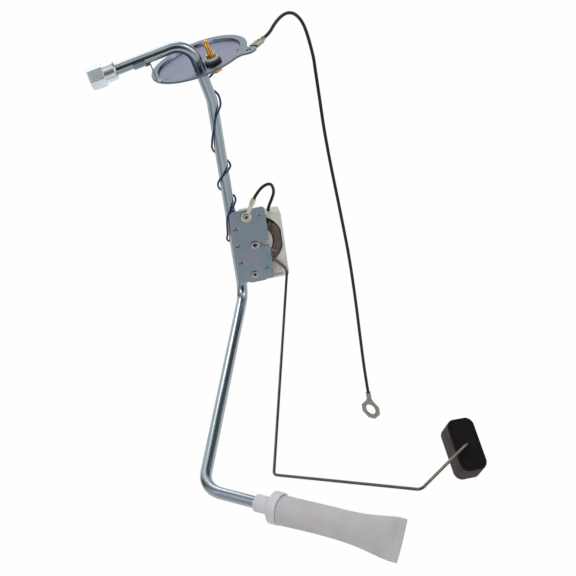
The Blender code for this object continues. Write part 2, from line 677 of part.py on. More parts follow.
def flange_plate():
    plate = lathe("flange_plate", plate_profile())
    ear = plate_outline("ear", ear_outline(), SHEET)
    join(plate, place(ear, Matrix.Rotation(EAR_ANGLE, 4, "Z") @ at(0, 0, RIM_RISE + SHEET / 2)))
    blade = box("blade", (-BLADE_WIDTH / 2, -BLADE_THICK / 2, BLADE_ROOT),
                (BLADE_WIDTH / 2, BLADE_THICK / 2, BLADE_REACH))
    join(plate, place(blade, blade_frame()))
    drill(plate, "ear_hole", EAR_HOLE_RADIUS, Matrix.Translation(ear_centre()))
    drill(plate, "tube_hole", TUBE_RADIUS + GAP, at(TUBE_X, TUBE_Y, 0))
    drill(plate, "stud_hole", BOSS_RADIUS + GAP, ON_STUD)
    for index, angle in enumerate(TICK_ANGLES):
        tick = box("tick_%d" % index, (TICK_RADIUS - TICK_WIDTH / 2, -TICK_LENGTH / 2, SHEET - TICK_DEPTH),
                   (TICK_RADIUS + TICK_WIDTH / 2, TICK_LENGTH / 2, SHEET + CUT_PAST))
        cut(plate, place(tick, Matrix.Rotation(angle, 4, "Z")))
    return finish_part(plate, ZINC)


def fuel_tube():
    """One bent tube from the flared outlet to the end inside the strainer's collar."""
    end = FOOT_CORNER + FOOT_DIRECTION * FOOT_LENGTH
    outlet = [(BAR_END_X, TUBE_Y, BAR_HEIGHT), (TUBE_X, TUBE_Y, BAR_HEIGHT)]
    corners = outlet + [KINK, LOW_CORNER, FOOT_CORNER, end]
    path = bent_path(corners, [TOP_BEND, KINK_BEND, LOW_BEND, FOOT_BEND])
    path.insert(1, path[0] + Vector((FLARE_LENGTH, 0.0, 0.0)))
    radii = [FLARE_RADIUS / TUBE_RADIUS] + [1.0] * (len(path) - 1)
    tube = rod("fuel_tube", path, TUBE_RADIUS, resolution=5, radii=radii, caps=False)
    shell = tube.modifiers.new("wall", "SOLIDIFY")
    shell.thickness = TUBE_WALL
    shell.offset = -1.0
    return finish_part(tube, BRIGHT_ZINC)


def braze_ring():
    """Fillet of braze round the tube under the plate."""
    inner = TUBE_RADIUS + GAP
    top = -GAP
    ring = lathe("braze_ring", [(inner, top), (BRAZE_RADIUS, top),
                                (BRAZE_RADIUS - BRAZE_SHOULDER_IN, top - BRAZE_SHOULDER_DOWN),
                                (inner + BRAZE_TOE, top - BRAZE_HEIGHT), (inner, top - BRAZE_HEIGHT)])
    return finish_part(place(ring, at(TUBE_X, TUBE_Y, 0)), BRAZE_METAL)


def nut_crown():
    """The cone that rounds off the hexagon's corners at the open end."""
    corner = NUT_FLATS / math.sqrt(3)
    rise = CUT_PAST * NUT_CHAMFER_DEPTH / NUT_CHAMFER_IN
    high = NUT_HEX_LENGTH + CUT_PAST
    return lathe("nut_crown", [(0.0, high), (corner + CUT_PAST, high),
                               (corner + CUT_PAST, NUT_CHAMFER_DEPTH + rise),
                               (corner - NUT_CHAMFER_IN - CUT_PAST, -rise), (0.0, -rise)])


def nut_bore():
    """Clearance for the tube, a seat for its flare and the open socket."""
    back = NUT_HEX_LENGTH + NUT_COLLAR_LENGTH + CUT_PAST
    tube = TUBE_RADIUS + GAP
    return lathe("nut_bore", [(0.0, back), (tube, back), (tube, NUT_OVERHANG + FLARE_LENGTH + 2 * GAP),
                              (FLARE_RADIUS + GAP, NUT_OVERHANG + GAP), (NUT_SOCKET_RADIUS, NUT_OVERHANG),
                              (NUT_SOCKET_RADIUS, -CUT_PAST), (0.0, -CUT_PAST)])


def tube_nut():
    """Hex nut with a round collar, turned on the outlet's axis, socket at its -X end."""
    frame = at(BAR_END_X - NUT_OVERHANG, TUBE_Y, BAR_HEIGHT) @ TO_X
    nut = place(hexagon("tube_nut", NUT_FLATS, 0.0, NUT_HEX_LENGTH), frame)
    boolean(nut, place(nut_crown(), frame), "INTERSECT")
    back = NUT_HEX_LENGTH + NUT_COLLAR_LENGTH
    low = NUT_HEX_LENGTH - LAP
    collar = lathe("nut_collar", [(0.0, back), (NUT_COLLAR_RADIUS - NUT_COLLAR_CHAMFER, back),
                                  (NUT_COLLAR_RADIUS, back - NUT_COLLAR_CHAMFER),
                                  (NUT_COLLAR_RADIUS, low), (0.0, low)])
    join(nut, place(collar, frame))
    cut(nut, place(nut_bore(), frame))
    return finish_part(nut, BRIGHT_ZINC)


def clip_outline():
    """The strap seen from the front: foot on the rim, post, and arm under the saddle."""
    low = RIM_RISE + SHEET + GAP
    arm_top = BAR_HEIGHT - TUBE_RADIUS - GAP
    arm_low = arm_top - CLIP_THICK
    arm_end = CLIP_POST_X - CLIP_SADDLE_GAP - LAP
    inside = CLIP_POST_X + CLIP_THICK
    return [(CLIP_POST_X + CLIP_FOOT, low), (CLIP_POST_X + CLIP_FOOT, low + CLIP_THICK),
            (inside, low + CLIP_THICK), (inside, arm_top), (arm_end, arm_top), (arm_end, arm_low),
            (CLIP_POST_X, arm_low), (CLIP_POST_X, low)]


def tube_clip():
    """Strap from the plate's rim up to a saddle under the outlet tube."""
    strap = place(plate_outline("tube_clip", clip_outline(), CLIP_WIDTH), at(0, TUBE_Y, 0) @ FACING)
    inner = TUBE_RADIUS + GAP
    start = 3 * QUARTER - CLIP_WRAP / 2
    end = 3 * QUARTER + CLIP_WRAP / 2
    section = arc(inner + CLIP_THICK, start, end) + arc(inner, end, start)
    saddle = plate_outline("saddle", section, CLIP_SADDLE_LENGTH)
    middle = CLIP_POST_X - CLIP_SADDLE_GAP - CLIP_SADDLE_LENGTH / 2
    centre = Vector((middle, TUBE_Y, BAR_HEIGHT))
    join(strap, place(saddle, frame_of(centre, Vector((0, 1, 0)), Vector((0, 0, 1)), Vector((1, 0, 0)))))
    return finish_part(strap, BRIGHT_ZINC)


def stud_gasket():
    gasket = turned_ring("stud_gasket", BOSS_RADIUS + GAP, GASKET_RADIUS, GASKET_LOW,
                         GASKET_LOW + GASKET_THICK, GASKET_EDGE)
    return finish_part(place(gasket, ON_STUD), BLACK_RUBBER)


def insulator_washer():
    washer = turned_ring("insulator_washer", STUD_BORE, WASHER_RADIUS, WASHER_LOW,
                         WASHER_LOW + WASHER_THICK, WASHER_EDGE)
    return finish_part(place(washer, ON_STUD), NYLON)


def hex_nut(name, flats, low, high):
    nut = place(hexagon(name, flats, low, high), ON_STUD)
    drill(nut, name + "_bore", STUD_BORE, ON_STUD)
    return finish_part(nut, BRASS)


def terminal_stud():
    """The conductor through the plate, chamfered at both ends."""
    thin = STUD_RADIUS - STUD_TIP
    stud = lathe("terminal_stud", [(0.0, STUD_TOP), (thin, STUD_TOP), (STUD_RADIUS, STUD_TOP - STUD_TIP),
                                   (STUD_RADIUS, STUD_LOW + STUD_TIP), (thin, STUD_LOW), (0.0, STUD_LOW)])
    return finish_part(place(stud, ON_STUD), BRASS)


def lower_insulator():
    """Flanged bush that centres the stud in the plate's hole from below."""
    bush = lathe("lower_insulator", [(STUD_BORE, SHEET), (BOSS_RADIUS, SHEET), (BOSS_RADIUS, -GAP),
                                     (INSULATOR_RADIUS, -GAP), (INSULATOR_RADIUS, INSULATOR_LOW),
                                     (STUD_BORE, INSULATOR_LOW)])
    return finish_part(place(bush, ON_STUD), BLACK_MOULDING)


def lug_frame():
    return at(STUD_X, STUD_Y, LUG_MIDDLE) @ Matrix.Rotation(LUG_ANGLE, 4, "Z")


def signal_terminal():
    """Ring lug between the lower insulator and its nut, with a crimp barrel for the signal wire."""
    seat = lug_frame()
    half = math.asin(LUG_NECK_HALF / LUG_RADIUS)
    outline = arc(LUG_RADIUS, half, 4 * QUARTER - half)
    outline += [(LUG_LENGTH, -LUG_NECK_HALF), (LUG_LENGTH, LUG_NECK_HALF)]
    lug = place(plate_outline("signal_terminal", outline, LUG_THICK), seat)
    barrel = cylinder("lug_barrel", SIGNAL_RADIUS + LUG_BARREL_WALL, LUG_LENGTH - LAP,
                      LUG_LENGTH + LUG_BARREL_LENGTH)
    join(lug, place(barrel, seat @ TO_X))
    drill(lug, "lug_bore", STUD_BORE, seat)
    return finish_part(lug, TINNED)


def around_tube(along, angle, out):
    """A point beside the upper tube: distance down it, angle round it and distance from its axis."""
    aside = UPRIGHT.to_3x3() @ Vector((math.cos(angle) * out, -math.sin(angle) * out, 0.0))
    return KINK + DOWN_TUBE * along + aside


def signal_wire():
    """Insulated wire from under the plate, wound loosely round the tube, to the housing's back."""
    start = lug_frame() @ Vector((LUG_LENGTH + LUG_BARREL_LENGTH + GAP, 0.0, 0.0))
    route = [start] + [Vector(point) * MM for point in SIGNAL_START]
    route += [around_tube(along * MM, math.radians(angle), out * MM) for along, angle, out in SIGNAL_ROUTE]
    return finish_part(wire("signal_wire", route, SIGNAL_RADIUS), BLUE_INSULATION)


def pressed_boss(bracket, name, radius, height, x, z):
    """A round boss pressed out of the bracket's front."""
    middle = -BRACKET_THICK / 2
    boss = cylinder(name, radius, middle / 2, BRACKET_THICK / 2 + height)
    return join(bracket, place(boss, sender_place(middle, x, z)))


def keep_side(work, point, normal):
    """Cuts a closed bmesh along a plane, keeps what its normal points to and closes the cut."""
    everything = work.verts[:] + work.edges[:] + work.faces[:]
    bmesh.ops.bisect_plane(work, geom=everything, plane_co=point, plane_no=normal, clear_inner=True)
    bmesh.ops.holes_fill(work, edges=[edge for edge in work.edges if edge.is_boundary])


def half_lance(bracket, name, x, z):
    """A half-round lance pushed out of the bracket's front, open below to the slit that it leaves."""
    middle = -BRACKET_THICK / 2
    work = bmesh.new()
    bmesh.ops.create_uvsphere(work, u_segments=LANCE_SIDES, v_segments=LANCE_SIDES // 2, radius=LANCE_RADIUS)
    bmesh.ops.scale(work, vec=(1, 1, (LANCE_HEIGHT - middle) / LANCE_RADIUS), verts=work.verts)
    keep_side(work, (0, -LANCE_SLIT / 2, 0), (0, 1, 0))
    keep_side(work, (0, 0, middle / 2), (0, 0, 1))
    mesh = bpy.data.meshes.new(name)
    work.to_mesh(mesh)
    work.free()
    dome = bpy.data.objects.new(name, mesh)
    PARTS.objects.link(dome)
    join(bracket, place(dome, sender_place(middle, x, z)))
    half = LANCE_RADIUS + GAP / 2
    slit = box(name + "_slit", (-half, -LANCE_SLIT, -THROUGH), (half, 0.0, THROUGH))
    return cut(bracket, place(slit, sender_place(middle, x, z)))


def keyhole_slot():
    """The slot beside the pivot, open at the bracket's right edge."""
    outline = [(PIVOT_HEAD + SLOT_CLEAR, -SLOT_WIDTH / 2), (BRACKET_RIGHT + CUT_PAST, -SLOT_WIDTH / 2),
               (BRACKET_RIGHT + CUT_PAST, SLOT_WIDTH / 2), (PIVOT_HEAD + SLOT_CLEAR, SLOT_WIDTH / 2)]
    return plate_outline("slot", outline, BRACKET_THICK + 2 * CUT_PAST)


def sender_bracket():
    """Stamped plate on the tube's front, with pips, lances, rivet holes and a turned-back lip."""
    face = sender_place(-BRACKET_THICK / 2)
    outline = rounded_outline(-BRACKET_LEFT, BRACKET_RIGHT, -BRACKET_HALF, BRACKET_HALF, BRACKET_CORNER)
    bracket = place(plate_outline("sender_bracket", outline, BRACKET_THICK), face)
    lip_low = -BRACKET_HALF - LIP_DROP
    lip = box("lip", (LIP_LEFT, -BRACKET_THICK, lip_low),
              (LIP_LEFT + LIP_WIDTH, LIP_REACH, lip_low + BRACKET_THICK))
    join(bracket, place(lip, SENDER))
    for name, side in (("upper", 1.0), ("lower", -1.0)):
        pressed_boss(bracket, name + "_pip", PIP_RADIUS, PIP_HEIGHT, PIP_X, side * PIP_Z)
        drill(bracket, name + "_rivet_hole", RIVET_SHANK + GAP, sender_place(0, RIVET_X, side * RIVET_Z))
    for index in (-1, 0, 1):
        half_lance(bracket, "lance_%d" % (index + 1), LANCE_INSET - BRACKET_LEFT,
                   LANCE_SHIFT + index * LANCE_PITCH)
    drill(bracket, "keyhole", PIVOT_SHANK + GAP, face)
    cut(bracket, place(keyhole_slot(), face))
    return finish_part(bracket, ZINC)


def pocket_outline():
    """The housing's pocket: round on the right, cut flat by its wall, square on the left."""
    top = min(POCKET_TOP, POCKET_RADIUS)
    low_angle = math.acos((POCKET_RADIUS - POCKET_FLAT) / POCKET_RADIUS)
    high_angle = math.asin(top / POCKET_RADIUS)
    upper = arc(POCKET_RADIUS, low_angle, high_angle) + [(HOUSING_WALL - HOUSING_LEFT, top)]
    return upper + [(x, -y) for x, y in reversed(upper)]


def housing_ear(body, name, side):
    """A rivet's ear on the housing, its hole, and a well behind it for the rivet's rolled end."""
    back = HOUSING_FRONT + HOUSING_EAR_THICK
    root = RIVET_Z - HOUSING_TOP + HOUSING_EAR_LAP
    ear = box(name + "_ear", (-HOUSING_EAR_HALF, GAP, -root), (HOUSING_EAR_HALF, back, HOUSING_EAR_HALF))
    turn = Matrix.Rotation(QUARTER * (1 - side), 4, "Y")
    join(body, place(ear, SENDER @ at(RIVET_X, 0, side * RIVET_Z) @ turn))
    axis = sender_place(0, RIVET_X, side * RIVET_Z)
    drill(body, name + "_ear_hole", RIVET_SHANK + GAP, axis)
    drill(body, name + "_ear_well", RIVET_SHANK + RIVET_ROLL + GAP, axis, high=-back)


def sender_housing():
    """Moulded nylon body: a floor with a round pocket, and an ear at each rivet."""
    outline = rounded_outline(-HOUSING_LEFT, HOUSING_RIGHT, -HOUSING_BOTTOM, HOUSING_TOP, HOUSING_CORNER)
    body = plate_outline("sender_housing", outline, HOUSING_DEPTH)
    place(body, sender_place(HOUSING_FRONT + HOUSING_DEPTH / 2))
    pocket = plate_outline("pocket", pocket_outline(), 2 * POCKET_DEPTH)
    cut(body, place(pocket, sender_place(HOUSING_FRONT)))
    housing_ear(body, "upper", 1.0)
    housing_ear(body, "lower", -1.0)
    drill(body, "pivot_bore", PIVOT_SHANK + GAP, sender_place())
    low = GROOVE_LOW - HOUSING_BOTTOM
    groove = box("groove", (GROOVE_X - GROOVE_WIDTH / 2, HOUSING_FRONT - CUT_PAST, low),
                 (GROOVE_X + GROOVE_WIDTH / 2, HOUSING_FRONT + GROOVE_DEPTH, low + GROOVE_HEIGHT))
    cut(body, place(groove, SENDER))
    return finish_part(body, NYLON)


def resistor_card():
    """Wire-wound card bent to an arc; its outer edge steps in and out with the turns."""
    outline = []
    for step in range(CARD_STEPS + 1):
        angle = CARD_HALF_ANGLE * (2 * step / CARD_STEPS - 1)
        radius = CARD_OUTER - CARD_BITE * (step % 2)
        outline.append((radius * math.cos(angle), radius * math.sin(angle)))
    outline += arc(CARD_INNER, CARD_HALF_ANGLE, -CARD_HALF_ANGLE)
    card = plate_outline("resistor_card", outline, CARD_THICK)
    return finish_part(place(card, sender_place(POCKET_FLOOR - GAP - CARD_THICK / 2)), WINDING)


def resistor_clip():
    """Terminal clip at the upper end of the winding."""
    start = CARD_HALF_ANGLE + GAP / CARD_INNER
    outline = arc(CARD_OUTER - END_CLIP_INSET, start, END_CLIP_ANGLE)
    outline += arc(CARD_INNER + END_CLIP_INSET, END_CLIP_ANGLE, start)
    clip = plate_outline("resistor_clip", outline, CARD_THICK)
    return finish_part(place(clip, sender_place(POCKET_FLOOR - GAP - CARD_THICK / 2)), TINNED)


def hollow_rivet(name, side, held):
    """Holds the housing's ear to the bracket, with what else its head holds of the given thickness."""
    front = BRACKET_THICK + GAP + held
    back = HOUSING_FRONT + HOUSING_EAR_THICK + GAP
    rivet = rolled_tube(name, RIVET_BORE, RIVET_SHANK, RIVET_HEAD, front, RIVET_HEAD_THICK, RIVET_EDGE,
                        RIVET_ROLL, back)
    return finish_part(place(rivet, sender_place(0, RIVET_X, side * RIVET_Z)), RIVET_STEEL)


def pivot_bushing():
    """Carries the rotor and holds the housing's middle to the bracket."""
    back = HOUSING_FRONT + HOUSING_DEPTH + GAP
    bushing = rolled_tube("pivot_bushing", PIVOT_BORE, PIVOT_SHANK, PIVOT_HEAD, BRACKET_THICK + GAP,
                          PIVOT_HEAD_THICK, PIVOT_EDGE, PIVOT_ROLL, back)
    return finish_part(place(bushing, sender_place()), RIVET_STEEL)


def jumper_terminal():
    """Eyelet between the bracket and the upper rivet's head, with its crimp towards the wire."""
    depth = BRACKET_THICK + GAP + LUG_THICK / 2
    run = Vector(JUMPER_ROUTE[0]) * MM - Vector((RIVET_X, -depth, RIVET_Z))
    length = run.length
    eye = RIVET_HEAD + EYELET_MARGIN
    half = math.asin(EYELET_NECK_HALF / eye)
    barrel_low = length - GAP - EYELET_BARREL_LENGTH
    outline = arc(eye, QUARTER + half, 5 * QUARTER - half)
    outline += [(EYELET_NECK_HALF, barrel_low + LAP), (-EYELET_NECK_HALF, barrel_low + LAP)]
    seat = sender_place(-depth, RIVET_X, RIVET_Z) @ Matrix.Rotation(-math.atan2(run.x, run.z), 4, "Z")
    terminal = place(plate_outline("jumper_terminal", outline, LUG_THICK), seat)
    barrel = cylinder("eyelet_barrel", JUMPER_RADIUS + CRIMP_WALL, barrel_low, length - GAP)
    join(terminal, place(barrel, seat @ TO_Y))
    drill(terminal, "eyelet_bore", RIVET_SHANK + GAP, seat)
    return finish_part(terminal, TINNED)


def jumper_wire():
    route = [SENDER @ (Vector(point) * MM) for point in JUMPER_ROUTE]
    return finish_part(wire("jumper_wire", route, JUMPER_RADIUS), BLACK_INSULATION)


def float_normal():
    """Out of the float's front face, square to the arm's last run."""
    run = ARM_TIP.normalized()
    level = Vector((run.y, -run.x, 0.0)).normalized()
    return level * math.cos(FLOAT_TILT) + Vector((0, 0, 1)) * math.sin(FLOAT_TILT)


def arm_corners():
    """Corners of the float arm in the world, from beside the pivot to the end inside the float."""
    out = UPRIGHT.to_3x3() @ Vector((math.cos(ARM_ANGLE), 0.0, math.sin(ARM_ANGLE)))
    centre = Vector((PIVOT.x, BRACKET_BACK + ARM_DEPTH, PIVOT.z))
    knee = centre + out * ARM_LEG
    elbow = knee + ARM_REACH
    wrist = elbow + ARM_CROSS
    tip = wrist + ARM_TIP
    end = tip - float_normal() * (FLOAT_STANDOFF + FLOAT_SINK)
    return [centre + out * ARM_START, knee, elbow, wrist, tip, end]


def arm_wire():
    corners = arm_corners()
    path = bent_path(corners, [ARM_BEND] * (len(corners) - 2))
    return finish_part(rod("arm_wire", path, ARM_RADIUS), ARM_STEEL)


def rotor():
    """Nylon disc on the pivot with two pairs of jaws that hold the arm's wire."""
    front = HOUSING_FRONT + GAP
    wire_back = ARM_DEPTH + ARM_RADIUS + GAP
    outline = arc(ROTOR_RADIUS, ROTOR_LOW_ANGLE, ROTOR_HIGH_ANGLE)
    outline += arc(ROTOR_HUB, ROTOR_HIGH_ANGLE, ROTOR_LOW_ANGLE + 4 * QUARTER)
    disc = place(plate_outline("rotor", outline, ROTOR_THICK), sender_place(front + ROTOR_THICK / 2))
    hub = cylinder("rotor_hub", ROTOR_HUB, GAP - POCKET_FLOOR, -wire_back)
    join(disc, place(hub, sender_place()))
    beside = ARM_RADIUS + GAP
    arm_line = sender_place() @ Matrix.Rotation(ARM_ANGLE, 4, "Z")
    for index, spot in enumerate(JAW_SPOTS):
        for name, low in (("high_jaw", beside), ("low_jaw", -beside - JAW_THICK)):
            jaw = box("%s_%d" % (name, index), (spot, low, -front - ROTOR_THICK / 2),
                      (spot + JAW_LENGTH, low + JAW_THICK, JAW_HEIGHT - wire_back))
            join(disc, place(jaw, arm_line))
    drill(disc, "rotor_bore", PIVOT_SHANK + GAP, sender_place())
    drill(disc, "rotor_pin_hole", ROTOR_PIN_RADIUS, sender_place(0, ROTOR_PIN_X))
    return finish_part(disc, NYLON)


def wiper_contact():
    """Springy strip on the rotor's front that reaches over the resistor's face."""
    end = CARD_OUTER - WIPER_SHORT
    outline = [(WIPER_START, -WIPER_WIDTH / 2), (end, -WIPER_TIP_WIDTH / 2),
               (end, WIPER_TIP_WIDTH / 2), (WIPER_START, WIPER_WIDTH / 2)]
    strip = plate_outline("wiper_contact", outline, WIPER_THICK)
    place(strip, sender_place(HOUSING_FRONT - WIPER_THICK / 2) @ Matrix.Rotation(WIPER_ANGLE, 4, "Z"))
    return finish_part(strip, BRONZE)


def float_frame():
    """Centre of the float; +Z out of its front face, +Y along its length."""
    normal = float_normal()
    run = ARM_TIP.normalized()
    cross = normal.cross(run)
    length = (-run * math.sin(FLOAT_TURN) - cross * math.cos(FLOAT_TURN)).normalized()
    centre = arm_corners()[-2] - normal * (FLOAT_STANDOFF + FLOAT_THICK / 2)
    return frame_of(centre, length.cross(normal), length, normal)


def float_block():
    """Closed-cell block with round corners and a blind hole that the arm's end turns in."""
    frame = float_frame()
    half_width = FLOAT_WIDTH / 2
    half_length = FLOAT_LENGTH / 2
    outline = rounded_outline(-half_width, half_width, -half_length, half_length, FLOAT_CORNER)
    block = place(plate_outline("float_block", outline, FLOAT_THICK), frame)
    edge = block.modifiers.new("edge", "BEVEL")
    edge.width = FLOAT_EDGE
    edge.segments = 2
    edge.limit_method = "ANGLE"
    edge.angle_limit = FLOAT_EDGE_ANGLE
    drill(block, "float_hole", ARM_RADIUS + GAP, frame, low=FLOAT_THICK / 2 - FLOAT_SINK - GAP)
    return finish_part(block, FLOAT_RUBBER)


def foot_frame(along):
    """On the foot's axis: +Z along the tube's foot, +X across the strainer's flat end."""
    side = FOOT_DIRECTION.cross(Vector((0, 0, 1))).normalized()
    up = side.cross(FOOT_DIRECTION)
    across = side * math.cos(SOCK_ROLL) - up * math.sin(SOCK_ROLL)
    centre = FOOT_CORNER + FOOT_DIRECTION * along
    return frame_of(centre, across, FOOT_DIRECTION.cross(across), FOOT_DIRECTION)


def filter_collar():
    """Moulded collar: a neck that grips the tube and a cup that the sock is welded round."""
    bore = TUBE_RADIUS + GAP
    low = NECK_LENGTH
    high = NECK_LENGTH + CUP_LENGTH
    edge = COLLAR_EDGE
    inside = CUP_RADIUS - CUP_WALL
    cup = [(inside, high), (CUP_RADIUS - edge, high), (CUP_RADIUS, high - edge), (CUP_RADIUS, low + edge)]
    neck = [(CUP_RADIUS - edge, low), (NECK_RADIUS + edge, low), (NECK_RADIUS, low - edge)]
    inner = [(NECK_RADIUS, 0.0), (bore, 0.0), (bore, low + CUP_FLOOR), (inside, low + CUP_FLOOR)]
    return finish_part(place(lathe("filter_collar", cup + neck + inner), foot_frame(COLLAR_START)), NYLON)


def sock_section(share):
    """Half width and half thickness of the sock at a share of its length."""
    start = CUP_RADIUS - SOCK_INSET
    ease = share * share * (3 - 2 * share)
    flat = share ** SOCK_FLATTEN
    return start + (SOCK_END_WIDTH / 2 - start) * ease, start + (SOCK_END_THICK / 2 - start) * flat


def filter_sock():
    """Woven bag, round at the collar and pressed flat at its end, lofted from ring to ring."""
    work = bmesh.new()
    angles = [4 * QUARTER * side / SOCK_SIDES for side in range(SOCK_SIDES)]
    rings = []
    for ring in range(SOCK_RINGS + 1):
        share = ring / SOCK_RINGS
        width, thick = sock_section(share)
        section = [(width * math.cos(a), thick * math.sin(a), SOCK_LENGTH * share) for a in angles]
        rings.append([work.verts.new(point) for point in section])
    for low, high in zip(rings, rings[1:]):
        for side in range(SOCK_SIDES):
            after = (side + 1) % SOCK_SIDES
            work.faces.new((low[side], low[after], high[after], high[side]))
    work.faces.new(list(reversed(rings[0])))
    work.faces.new(rings[-1])
    mesh = bpy.data.meshes.new("filter_sock")
    work.to_mesh(mesh)
    work.free()
    sock = bpy.data.objects.new("filter_sock", mesh)
    return finish_part(place(sock, foot_frame(COLLAR_START + NECK_LENGTH + CUP_LENGTH + GAP)), MESH_WHITE)


def spade_connector():
    """Female blade connector: a flat sleeve over the blade and a crimp round the wire."""
    frame = blade_frame()
    body = box("spade_connector", (-CONNECTOR_WIDTH / 2, -CONNECTOR_HEIGHT / 2, CONNECTOR_MOUTH),
               (CONNECTOR_WIDTH / 2, CONNECTOR_HEIGHT / 2, CONNECTOR_END))
    place(body, frame)
    half_width = BLADE_WIDTH / 2 + GAP
    half_height = BLADE_THICK / 2 + GAP
    sleeve = box("sleeve", (-half_width, -half_height, CONNECTOR_MOUTH - CUT_PAST),
                 (half_width, half_height, BLADE_REACH + GAP))
    cut(body, place(sleeve, frame))
    gutter = box("gutter", (-GUTTER_WIDTH / 2, -CONNECTOR_HEIGHT, CONNECTOR_MOUTH - CUT_PAST),
                 (GUTTER_WIDTH / 2, -BLADE_THICK / 2, CONNECTOR_MOUTH + GUTTER_LENGTH))
    cut(body, place(gutter, frame))
    crimp = cylinder("crimp", LEAD_RADIUS + CRIMP_WALL, CONNECTOR_END - LAP, CONNECTOR_END + CRIMP_LENGTH)
    join(body, place(crimp, frame))
    return finish_part(body, TINNED)


def ground_lead():
    start = blade_frame() @ Vector((0.0, 0.0, CONNECTOR_END + CRIMP_LENGTH + GAP))
    route = [start] + [Vector(point) * MM for point in LEAD_ROUTE]
    return finish_part(wire("ground_lead", route, LEAD_RADIUS), BLACK_INSULATION)


def ring_frame():
    """At the lead's lower end: +Y on along the wire, +Z out of the ring's flat."""
    end = Vector(LEAD_ROUTE[-1]) * MM
    down = (end - Vector(LEAD_ROUTE[-2]) * MM).normalized()
    across = Vector((math.cos(RING_TURN), -math.sin(RING_TURN), 0.0))
    across = (across - down * across.dot(down)).normalized()
    return frame_of(end + down * GAP, across, down, across.cross(down))


def ring_terminal():
    """Ring terminal with an eight-sided outline on the lead's lower end."""
    frame = ring_frame()
    half = RING_WIDTH / 2
    middle = RING_BARREL_LENGTH + RING_STEP + half
    right = [(RING_NECK_HALF, RING_BARREL_LENGTH - 2 * LAP), (RING_FLAT_HALF, middle - half),
             (half, middle - RING_FLAT_HALF), (half, middle + RING_FLAT_HALF),
             (RING_FLAT_HALF, middle + half)]
    ring = place(plate_outline("ring_terminal", both_sides(right), RING_THICK), frame)
    barrel = cylinder("ring_barrel", LEAD_RADIUS + CRIMP_WALL, 0.0, RING_BARREL_LENGTH)
    join(ring, place(barrel, frame @ TO_Y))
    drill(ring, "ring_hole", RING_HOLE, frame @ at(0, middle, 0))
    return finish_part(ring, TINNED)


def joint_empty(name, matrix, pieces):
    """An empty on a joint's axis that carries the pieces that move with it."""
    empty = place(bpy.data.objects.new(name, None), matrix)
    PARTS.objects.link(empty)
    for piece in pieces:
        piece.parent = empty
        piece.matrix_parent_inverse = matrix.inverted()
    return empty


def build_flange():
    flange_plate()
    braze_ring()
    fuel_tube()
    tube_clip()
    joint_empty("outlet_axis", at(BAR_END_X, TUBE_Y, BAR_HEIGHT), [tube_nut()])
    stud_gasket()
    insulator_washer()
    hex_nut("stud_nut", STUD_NUT_FLATS, STUD_NUT_LOW, STUD_NUT_LOW + STUD_NUT_HEIGHT)
    terminal_stud()
    lower_insulator()
    signal_terminal()
    hex_nut("lower_nut", LOWER_NUT_FLATS, LOWER_NUT_LOW, LOWER_NUT_TOP)
    signal_wire()


def build_sender():
    sender_bracket()
    sender_housing()
    resistor_card()
    resistor_clip()
    hollow_rivet("upper_rivet", 1.0, LUG_THICK + GAP)
    hollow_rivet("lower_rivet", -1.0, 0.0)
    pivot_bushing()
    jumper_terminal()
    jumper_wire()


def build_arm():
    block = float_block()
    joint_empty("float_axis", float_frame(), [block])
    joint_empty("arm_axis", SENDER, [arm_wire(), rotor(), wiper_contact()])


def build_strainer():
    filter_collar()
    filter_sock()


def build_ground():
    spade_connector()
    ground_lead()
    ring_terminal()


clear_scene()
PARTS = make_collection("fuel_level_sender")
CUTTERS = make_collection("cutters")
build_flange()
build_sender()
build_arm()
build_strainer()
build_ground()
bpy.context.view_layer.update()
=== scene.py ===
import json
import math

import bmesh
import bpy
from mathutils import Matrix, Vector, noise

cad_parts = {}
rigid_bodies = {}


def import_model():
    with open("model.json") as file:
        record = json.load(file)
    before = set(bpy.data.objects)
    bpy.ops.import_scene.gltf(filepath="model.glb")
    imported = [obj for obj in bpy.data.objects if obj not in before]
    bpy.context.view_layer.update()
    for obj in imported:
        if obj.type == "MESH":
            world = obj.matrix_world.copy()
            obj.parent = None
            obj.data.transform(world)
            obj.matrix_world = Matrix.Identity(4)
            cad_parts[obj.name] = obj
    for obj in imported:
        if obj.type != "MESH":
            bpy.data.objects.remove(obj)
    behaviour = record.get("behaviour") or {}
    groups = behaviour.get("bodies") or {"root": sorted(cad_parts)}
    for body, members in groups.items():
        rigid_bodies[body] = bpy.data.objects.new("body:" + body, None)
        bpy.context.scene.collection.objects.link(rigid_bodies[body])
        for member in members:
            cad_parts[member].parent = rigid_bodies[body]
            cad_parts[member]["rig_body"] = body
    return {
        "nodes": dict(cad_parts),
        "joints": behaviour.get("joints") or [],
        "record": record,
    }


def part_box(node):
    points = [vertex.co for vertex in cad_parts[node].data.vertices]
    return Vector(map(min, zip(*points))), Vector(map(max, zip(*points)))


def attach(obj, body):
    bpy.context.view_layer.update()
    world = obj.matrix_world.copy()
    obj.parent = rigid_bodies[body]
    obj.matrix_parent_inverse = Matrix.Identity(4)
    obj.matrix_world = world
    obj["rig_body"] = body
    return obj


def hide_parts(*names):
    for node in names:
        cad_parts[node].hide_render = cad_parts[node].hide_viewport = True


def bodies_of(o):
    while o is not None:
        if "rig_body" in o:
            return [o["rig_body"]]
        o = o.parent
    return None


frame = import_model()
NODES = frame["nodes"]
JOINTS = {joint["name"]: joint for joint in frame["joints"]}
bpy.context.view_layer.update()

MM = 0.001
TURN = 2 * math.pi
QUARTER = TURN / 4
SHARP_ANGLE = math.radians(35.0)
WELD = 0.001 * MM
FLAT_ANGLE = math.radians(0.5)

